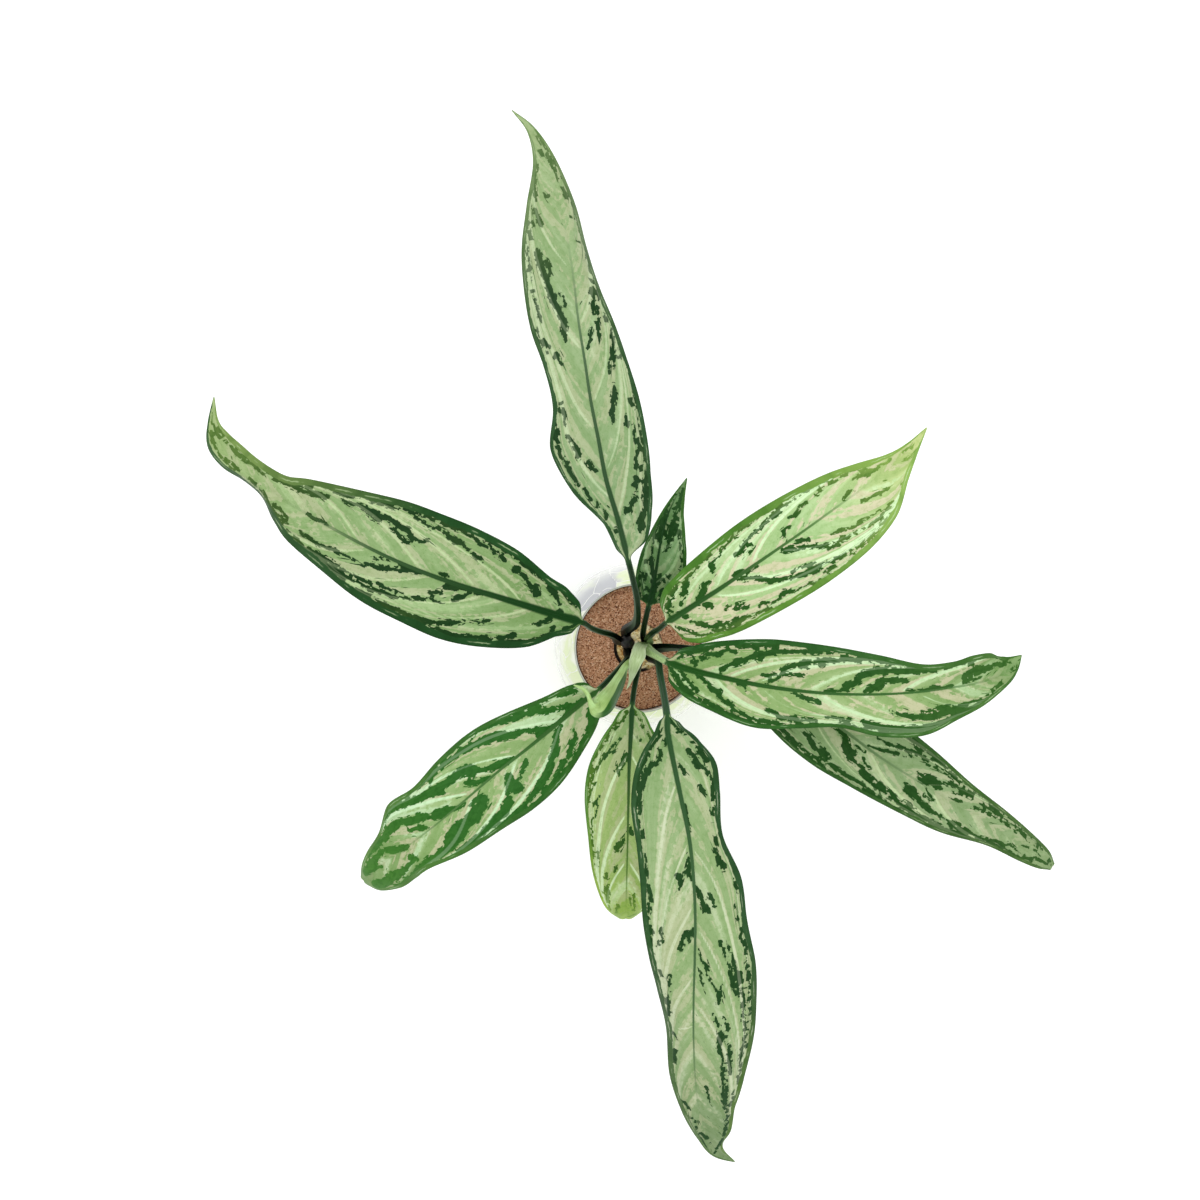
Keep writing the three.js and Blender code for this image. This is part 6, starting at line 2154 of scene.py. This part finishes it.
SOUTH_WEST_MARKS = (
    (55, 93, 20, 100, 92, 22, 150, 92, 23, 200, 93, 24, 250, 93, 26, 300, 94, 24, 350, 96, 18, 400, 96, 16,
    450, 96, 16, 520, 96, 18), (70, 50, 26, 80, 63, 36, 95, 72, 20, 120, 77, 12, 140, 79, 10, 160, 81, 6),
    (153, 40, 10, 154, 50, 10, 163, 60, 22, 180, 62, 24, 195, 68, 20, 208, 72, 18, 215, 77, 10), (230, 73,
    20, 240, 75, 22, 250, 79, 12, 270, 80, 16, 290, 84, 12, 310, 86, 10, 330, 87, 7), (170, 10, 12, 190, 14,
    16, 205, 22, 20, 215, 33, 22, 225, 40, 24, 240, 46, 24, 255, 50, 22, 270, 58, 26, 290, 64, 28, 310, 68,
    28), (310, 68, 28, 330, 72, 24, 350, 76, 20, 370, 79, 18, 390, 82, 14, 420, 85, 12, 460, 87, 10, 500,
    88, 8), (310, 15, 10, 318, 22, 14, 335, 26, 10, 350, 33, 10), (370, 16, 12, 380, 24, 30, 386, 33, 34,
    375, 42, 36, 395, 40, 30, 410, 42, 12), (368, 52, 22, 390, 52, 16), (410, 54, 10, 430, 56, 20), (420,
    63, 20, 440, 65, 34, 450, 72, 30, 470, 73, 28, 490, 75, 26), (490, 75, 28, 510, 78, 24, 530, 80, 22,
    560, 83, 16, 590, 85, 18, 620, 88, 18, 650, 95, 12, 700, 95, 12), (462, 20, 14, 470, 25, 24, 485, 31,
    34, 500, 33, 40, 520, 40, 48, 540, 40, 40, 560, 40, 46, 580, 44, 54, 600, 50, 56, 620, 56, 46, 640, 66,
    30), (640, 66, 30, 660, 70, 34, 680, 77, 24, 700, 74, 26, 720, 77, 20, 740, 79, 18, 760, 80, 17, 780,
    80, 14, 810, 82, 10, 850, 83, 10, 890, 84, 10), (470, 16, 14, 490, 15, 12, 510, 15, 10), (733, 50, 12,
    742, 40, 24, 750, 32, 18, 753, 28, 8), (740, 52, 8, 765, 51, 10, 790, 54, 16, 810, 52, 26, 830, 50, 34,
    850, 49, 36, 870, 50, 36, 890, 51, 34, 910, 52, 32, 925, 50, 42, 940, 50, 44), (70, -8, 16, 90, -10, 16,
    105, -16, 22, 120, -22, 30, 126, -33, 14, 140, -43, 6, 148, -50, 8), (130, -6, 16, 150, -2, 10, 180, -2,
    10, 200, -5, 16, 220, -12, 30), (220, -12, 30, 233, -14, 30, 235, -24, 20, 252, -30, 16, 257, -38, 9),
    (136, -28, 5, 150, -38, 6, 160, -48, 16, 170, -52, 16, 182, -57, 20, 195, -63, 24, 205, -71, 24, 220,
    -74, 24, 240, -77, 16, 260, -76, 20, 280, -82, 16), (280, -82, 16, 300, -85, 14, 320, -89, 12), (186,
    -78, 12, 200, -80, 14), (70, -62, 10, 80, -67, 16, 95, -72, 20, 108, -78, 16, 120, -85, 12, 135, -90,
    12), (100, -96, 10, 140, -95, 16, 180, -93, 13, 220, -93, 14, 260, -93, 11, 300, -98, 10, 340, -100, 8),
    (265, -40, 12, 285, -43, 22, 300, -46, 26, 315, -53, 26, 330, -60, 28, 350, -65, 30, 370, -70, 28, 390,
    -73, 26, 410, -76, 22, 430, -80, 18, 460, -82, 14), (460, -82, 14, 490, -84, 16, 520, -87, 14, 550, -88,
    14, 580, -92, 12, 620, -96, 10, 660, -98, 8), (310, -89, 10, 340, -90, 12, 370, -94, 16, 400, -96, 20,
    440, -98, 18, 480, -99, 16, 520, -99, 14), (335, -3, 10, 355, -6, 22, 375, -9, 28, 395, -13, 24, 410,
    -20, 14, 426, -27, 16, 440, -38, 32, 453, -45, 34, 468, -50, 28, 485, -51, 28), (446, -26, 8, 460, -35,
    16), (485, -51, 26, 510, -53, 26, 530, -55, 28, 545, -55, 42, 565, -62, 34, 585, -68, 24, 605, -70, 26,
    625, -74, 26), (625, -74, 26, 650, -79, 22, 680, -82, 20, 700, -85, 18, 720, -88, 18, 740, -90, 16, 760,
    -93, 12), (415, -1, 10, 430, -5, 16, 445, -9, 18, 460, -15, 18, 472, -21, 18, 483, -27, 10), (520, 3,
    10, 540, 1, 16, 560, -4, 20, 573, -10, 32, 590, -14, 40, 607, -17, 30), (620, -24, 12, 630, -30, 22,
    645, -36, 32, 660, -38, 28, 675, -42, 30, 690, -46, 24), (695, -52, 18, 715, -55, 30, 730, -56, 34, 750,
    -60, 32, 770, -65, 30, 790, -70, 24, 810, -74, 20, 830, -78, 16, 850, -78, 14, 880, -80, 14, 910, -82,
    12), (650, -9, 12, 663, -13, 22, 675, -20, 15, 690, -24, 13, 698, -27, 10), (740, -1, 12, 753, -5, 20,
    768, -10, 22, 780, -16, 24, 790, -24, 22, 798, -33, 16, 804, -40, 10), (818, -45, 14, 835, -44, 18, 850,
    -42, 22, 870, -40, 30, 890, -38, 42, 910, -35, 34, 930, -35, 24, 945, -35, 20), (863, 2, 5, 870, -4, 8,
    878, -12, 14, 888, -20, 22), (888, -55, 14),
)

LEAVES = (
    Leaf("silver_leaf_north", "leaf_north", LeafLook(
        slot="leaf_silver",
        ground=(rgb(140, 169, 120), rgb(158, 183, 134), rgb(168, 189, 138)),
        vein=rgb(205, 224, 181),
        blotch=(rgb(33, 65, 32), rgb(104, 132, 78)),
        left_rim=(rgb(52, 88, 50), rgb(124, 150, 98)),
        right_rim=(rgb(52, 88, 50), rgb(112, 140, 84)),
        rim_width=(2.2, 2.4),
        midrib=(rgb(52, 84, 50), rgb(112, 139, 101)),
        midrib_fade=0.55,
        veins=((14, 28, 44, 60), (10, 19, 33, 49)),
        marks=NORTH_MARKS,
        cream_share=0.4,
        pale_share=0.42,
    ), seed=3),
    Leaf("silver_leaf_west", "leaf_west", LeafLook(
        slot="leaf_silver",
        ground=(rgb(132, 163, 104), rgb(152, 180, 124), rgb(172, 193, 134)),
        vein=rgb(205, 229, 174),
        blotch=(rgb(25, 60, 23), rgb(98, 130, 60)),
        left_rim=(rgb(32, 74, 33), rgb(70, 104, 62)),
        right_rim=(rgb(34, 78, 34), rgb(128, 156, 84)),
        rim_width=(4.4, 4.2),
        midrib=(rgb(26, 66, 25), rgb(84, 116, 72)),
        midrib_fade=0.55,
        veins=((12, 22, 34, 47), (14, 24, 36, 50)),
        marks=WEST_MARKS,
        verge=0.2,
        swell=0.3,
        midrib_width=1.5,
        pale_share=0.35,
    ), seed=4),
    Leaf("dark_leaf_north", "leaf_north_small", LeafLook(
        slot="leaf_dark",
        ground=(rgb(74, 116, 60), rgb(122, 160, 106), rgb(124, 162, 108)),
        vein=rgb(176, 210, 156),
        blotch=(rgb(23, 62, 21), rgb(50, 92, 42)),
        left_rim=(rgb(48, 96, 38), rgb(64, 110, 48)),
        right_rim=(rgb(52, 100, 40), rgb(72, 118, 50)),
        rim_width=(2, 2),
        midrib=(rgb(29, 66, 30), rgb(39, 77, 39)),
        midrib_fade=0.8,
        veins=((20, 45), (18, 42)),
        marks=NORTH_SMALL_MARKS,
        cream_share=0.25,
    ), seed=5),
    Leaf("bright_leaf_north_east", "leaf_north_east", LeafLook(
        slot="leaf_bright",
        ground=(rgb(182, 204, 146), rgb(198, 226, 168), rgb(199, 214, 140)),
        vein=rgb(226, 255, 204),
        blotch=(rgb(43, 88, 32), rgb(134, 168, 79)),
        left_rim=(rgb(84, 134, 50), rgb(142, 178, 84)),
        right_rim=(rgb(100, 148, 58), rgb(152, 188, 96)),
        rim_width=(3.8, 3.4),
        midrib=(rgb(50, 94, 42), rgb(104, 146, 80)),
        midrib_fade=0.65,
        veins=((22, 36), (20, 30, 45)),
        marks=NORTH_EAST_MARKS,
        midrib_width=1.2,
        edge_tone=0.3,
        cream_share=0.85,
        patches=0.9,
        pale_share=0.8,
        sweep=1.5,
        cream=rgb(226, 218, 184),
        foot=rgb(132, 166, 100),
    ), seed=6),
    Leaf("green_leaf_east", "leaf_east", LeafLook(
        slot="leaf_green",
        ground=(rgb(152, 184, 118), rgb(166, 192, 132), rgb(138, 171, 111)),
        vein=rgb(208, 236, 187),
        blotch=(rgb(40, 86, 31), rgb(62, 106, 41)),
        left_rim=(rgb(44, 94, 38), rgb(74, 118, 52)),
        right_rim=(rgb(54, 104, 42), rgb(78, 122, 54)),
        rim_width=(3, 2.4),
        midrib=(rgb(40, 88, 32), rgb(70, 114, 56)),
        midrib_fade=0.8,
        veins=((20, 28, 41, 64), (16, 29, 44, 68)),
        marks=EAST_MARKS,
        swell=0.3,
        midrib_width=1.3,
        cream=rgb(212, 207, 172),
        cream_share=0.75,
        pale_share=0.8,
        patches=0.9,
        stalk=rgb(168, 200, 134),
        foot=rgb(164, 196, 128),
    ), seed=7, stalk_radius=2.8),
    Leaf("green_leaf_south_east", "leaf_south_east", LeafLook(
        slot="leaf_green",
        ground=(rgb(136, 166, 114), rgb(153, 177, 130), rgb(146, 170, 120)),
        vein=rgb(200, 220, 170),
        blotch=(rgb(34, 75, 26), rgb(54, 94, 36)),
        left_rim=(rgb(54, 96, 42), rgb(76, 112, 50)),
        right_rim=(rgb(54, 96, 42), rgb(76, 112, 50)),
        rim_width=(2.4, 2.2),
        midrib=(rgb(95, 126, 80), rgb(125, 153, 107)),
        midrib_fade=0.5,
        veins=((20, 38, 56), (22, 40, 58)),
        marks=SOUTH_EAST_MARKS,
        swell=-0.1,
        verge=0.0,
        stalk=rgb(8, 26, 12),
    ), seed=8, stalk_radius=1.9),
    Leaf("silver_leaf_south", "leaf_south", LeafLook(
        slot="leaf_silver",
        ground=(rgb(154, 181, 128), rgb(161, 186, 134), rgb(126, 149, 106)),
        vein=rgb(214, 224, 190),
        blotch=(rgb(33, 70, 30), rgb(40, 74, 38)),
        left_rim=(rgb(46, 84, 46), rgb(92, 124, 56)),
        right_rim=(rgb(50, 88, 48), rgb(92, 122, 70)),
        rim_width=(3, 3),
        midrib=(rgb(54, 92, 52), rgb(92, 122, 80)),
        midrib_fade=0.7,
        veins=((26, 40, 55), (14, 25, 36, 50)),
        marks=SOUTH_MARKS,
        verge=-0.6,
        pale_share=0.55,
        scars=((610, -2, 5, 615, -25, 6, 623, -58, 4),),
        stalk=rgb(38, 74, 44),
    ), seed=9, stalk_radius=2.6),
    Leaf("yellow_leaf_south", "leaf_south_low", LeafLook(
        slot="leaf_yellow_green",
        ground=(rgb(164, 190, 134), rgb(176, 200, 128), rgb(160, 194, 74)),
        vein=rgb(222, 244, 196),
        blotch=(rgb(44, 86, 36), rgb(116, 156, 50)),
        left_rim=(rgb(92, 140, 60), rgb(150, 186, 62)),
        right_rim=(rgb(92, 140, 60), rgb(160, 194, 70)),
        rim_width=(1.8, 1.8),
        midrib=(rgb(46, 84, 44), rgb(104, 142, 64)),
        midrib_fade=0.75,
        veins=((20, 42, 62), (20, 42, 62)),
        marks=SOUTH_LOW_MARKS,
        verge=-2.0,
        pale_share=0.8,
        edge_tone=0.3,
    ), seed=10),
    Leaf("striped_leaf_south_west", "leaf_south_west", LeafLook(
        slot="leaf_green",
        ground=(rgb(176, 198, 148), rgb(162, 190, 130), rgb(138, 170, 108)),
        vein=rgb(211, 241, 197),
        blotch=(rgb(46, 102, 36), rgb(74, 130, 48)),
        left_rim=(rgb(58, 108, 44), rgb(90, 134, 62)),
        right_rim=(rgb(58, 108, 44), rgb(98, 140, 68)),
        rim_width=(3, 2.6),
        midrib=(rgb(58, 104, 46), rgb(100, 138, 80)),
        midrib_fade=0.65,
        veins=((16, 32, 48), (16, 32, 48)),
        marks=SOUTH_WEST_MARKS,
        swell=0.5,
        cream_share=0.75,
        pale_share=0.8,
        patches=0.9,
        sweep=0.6,
        cream=rgb(203, 201, 165),
    ), seed=11),
)

CANES = (
    # Painted shade: the old cane's bark and rings are near black, the shade deep among the stalks, over the
    # bark's own dark brown
    Cane("bark_cane", "cane_old", "cane_bark",
         ((-7, 0, 62, 5.2), (-8, 2, 94, 5.4), (-9.4, 4.3, 118, 5), (-11, 7, 144, 4.3)),
         skin=rgb(8, 8, 4), scar=rgb(30, 28, 18)),
    Cane("green_cane", "cane_young", "cane_green",
         ((8, -6, 62, 4.8), (6, -3, 94, 5), (4.4, -0.6, 118, 4.8), (3, 1.5, 137, 4.5)),
         skin=rgb(140, 176, 108), scar=rgb(176, 198, 142)),
)


# The picture's setting


@dataclass
class Studio:
    """A pale floor, soft light from above and a camera that looks straight down."""

    camera_place: Point = (-32, 39.4, 968)
    focal_pixels: float = 1036
    picture_pixels: float = 1200
    sensor: float = 36.0
    floor_size: float = 9000
    floor_drop: float = 0.1
    floor_white: Colour = (0.97, 0.97, 0.97)
    sky_strength: float = 0.83
    aim: Point = (0, 0, 150)
    lamps: tuple[tuple[str, Point, float, float], ...] = (
        ("overhead", (-300, 500, 2300), 2400, 32.5),
        ("side_fill", (1800, -1400, 1500), 1600, 11.2),
    )

    def build(self) -> None:
        """Makes the floor, the lights, the sky and the camera."""
        self.lay_floor()
        for lamp in self.lamps:
            self.hang_light(*lamp)
        self.fill_sky(self.sky_strength)
        self.set_camera()

    def lay_floor(self) -> None:
        """Lays a plain pale floor just under the planter."""
        half = self.floor_size / 2
        ways = ((-1, -1), (1, -1), (1, 1), (-1, 1))
        corners = np.array([[x * half, y * half, -self.floor_drop] for x, y in ways])
        finish = Painter("floor_paint").finish(self.floor_white, 0.9, Emission_Strength=0.1)
        floor = make_piece("floor", corners, np.array([[0, 1, 2, 3]]), materials=(finish,))

    def hang_light(self, name: str, place: Point, size: float, power: float) -> None:
        """Hangs a square soft light that faces the plant.

        Args:
            name: its name.
            place: its middle, in millimetres.
            size: its side, in millimetres.
            power: its power in watts.
        """
        light = bpy.data.lights.new(name, "AREA")
        light.size = size * MM
        light.energy = power
        lamp = bpy.data.objects.new(name, light)
        lamp.location = [value * MM for value in place]
        aim = (np.array(self.aim) - np.array(place)) * MM
        lamp.rotation_euler = Vector(aim).to_track_quat("-Z", "Y").to_euler()
        bpy.context.scene.collection.objects.link(lamp)

    def fill_sky(self, strength: float) -> None:
        """Lights the scene evenly from all round.

        Args:
            strength: the sky's brightness.
        """
        world = bpy.data.worlds.new("soft_sky")
        world.use_nodes = True
        sky = world.node_tree.nodes["Background"]
        sky.inputs["Color"].default_value = (1, 1, 1, 1)
        sky.inputs["Strength"].default_value = strength
        bpy.context.scene.world = world

    def set_camera(self) -> None:
        """Points the camera straight down, with the picture's top towards +Y."""
        lens = bpy.data.cameras.new("camera")
        lens.sensor_fit = "HORIZONTAL"
        lens.sensor_width = self.sensor
        lens.lens = self.sensor * self.focal_pixels / self.picture_pixels
        camera = bpy.data.objects.new("camera", lens)
        camera.location = [value * MM for value in self.camera_place]
        bpy.context.scene.collection.objects.link(camera)
        bpy.context.scene.camera = camera
        bpy.context.scene.view_settings.view_transform = "Standard"


def main() -> None:
    """Builds the setting and every piece, and reports each."""
    logging.basicConfig(level=logging.INFO, format="%(message)s")
    for part in (Studio(), Planter(), CorkDisc(), Substrate(), *CANES, *LEAVES, RolledLeaf(), Bract()):
        part.build()


if __name__ == "__main__":
    main()
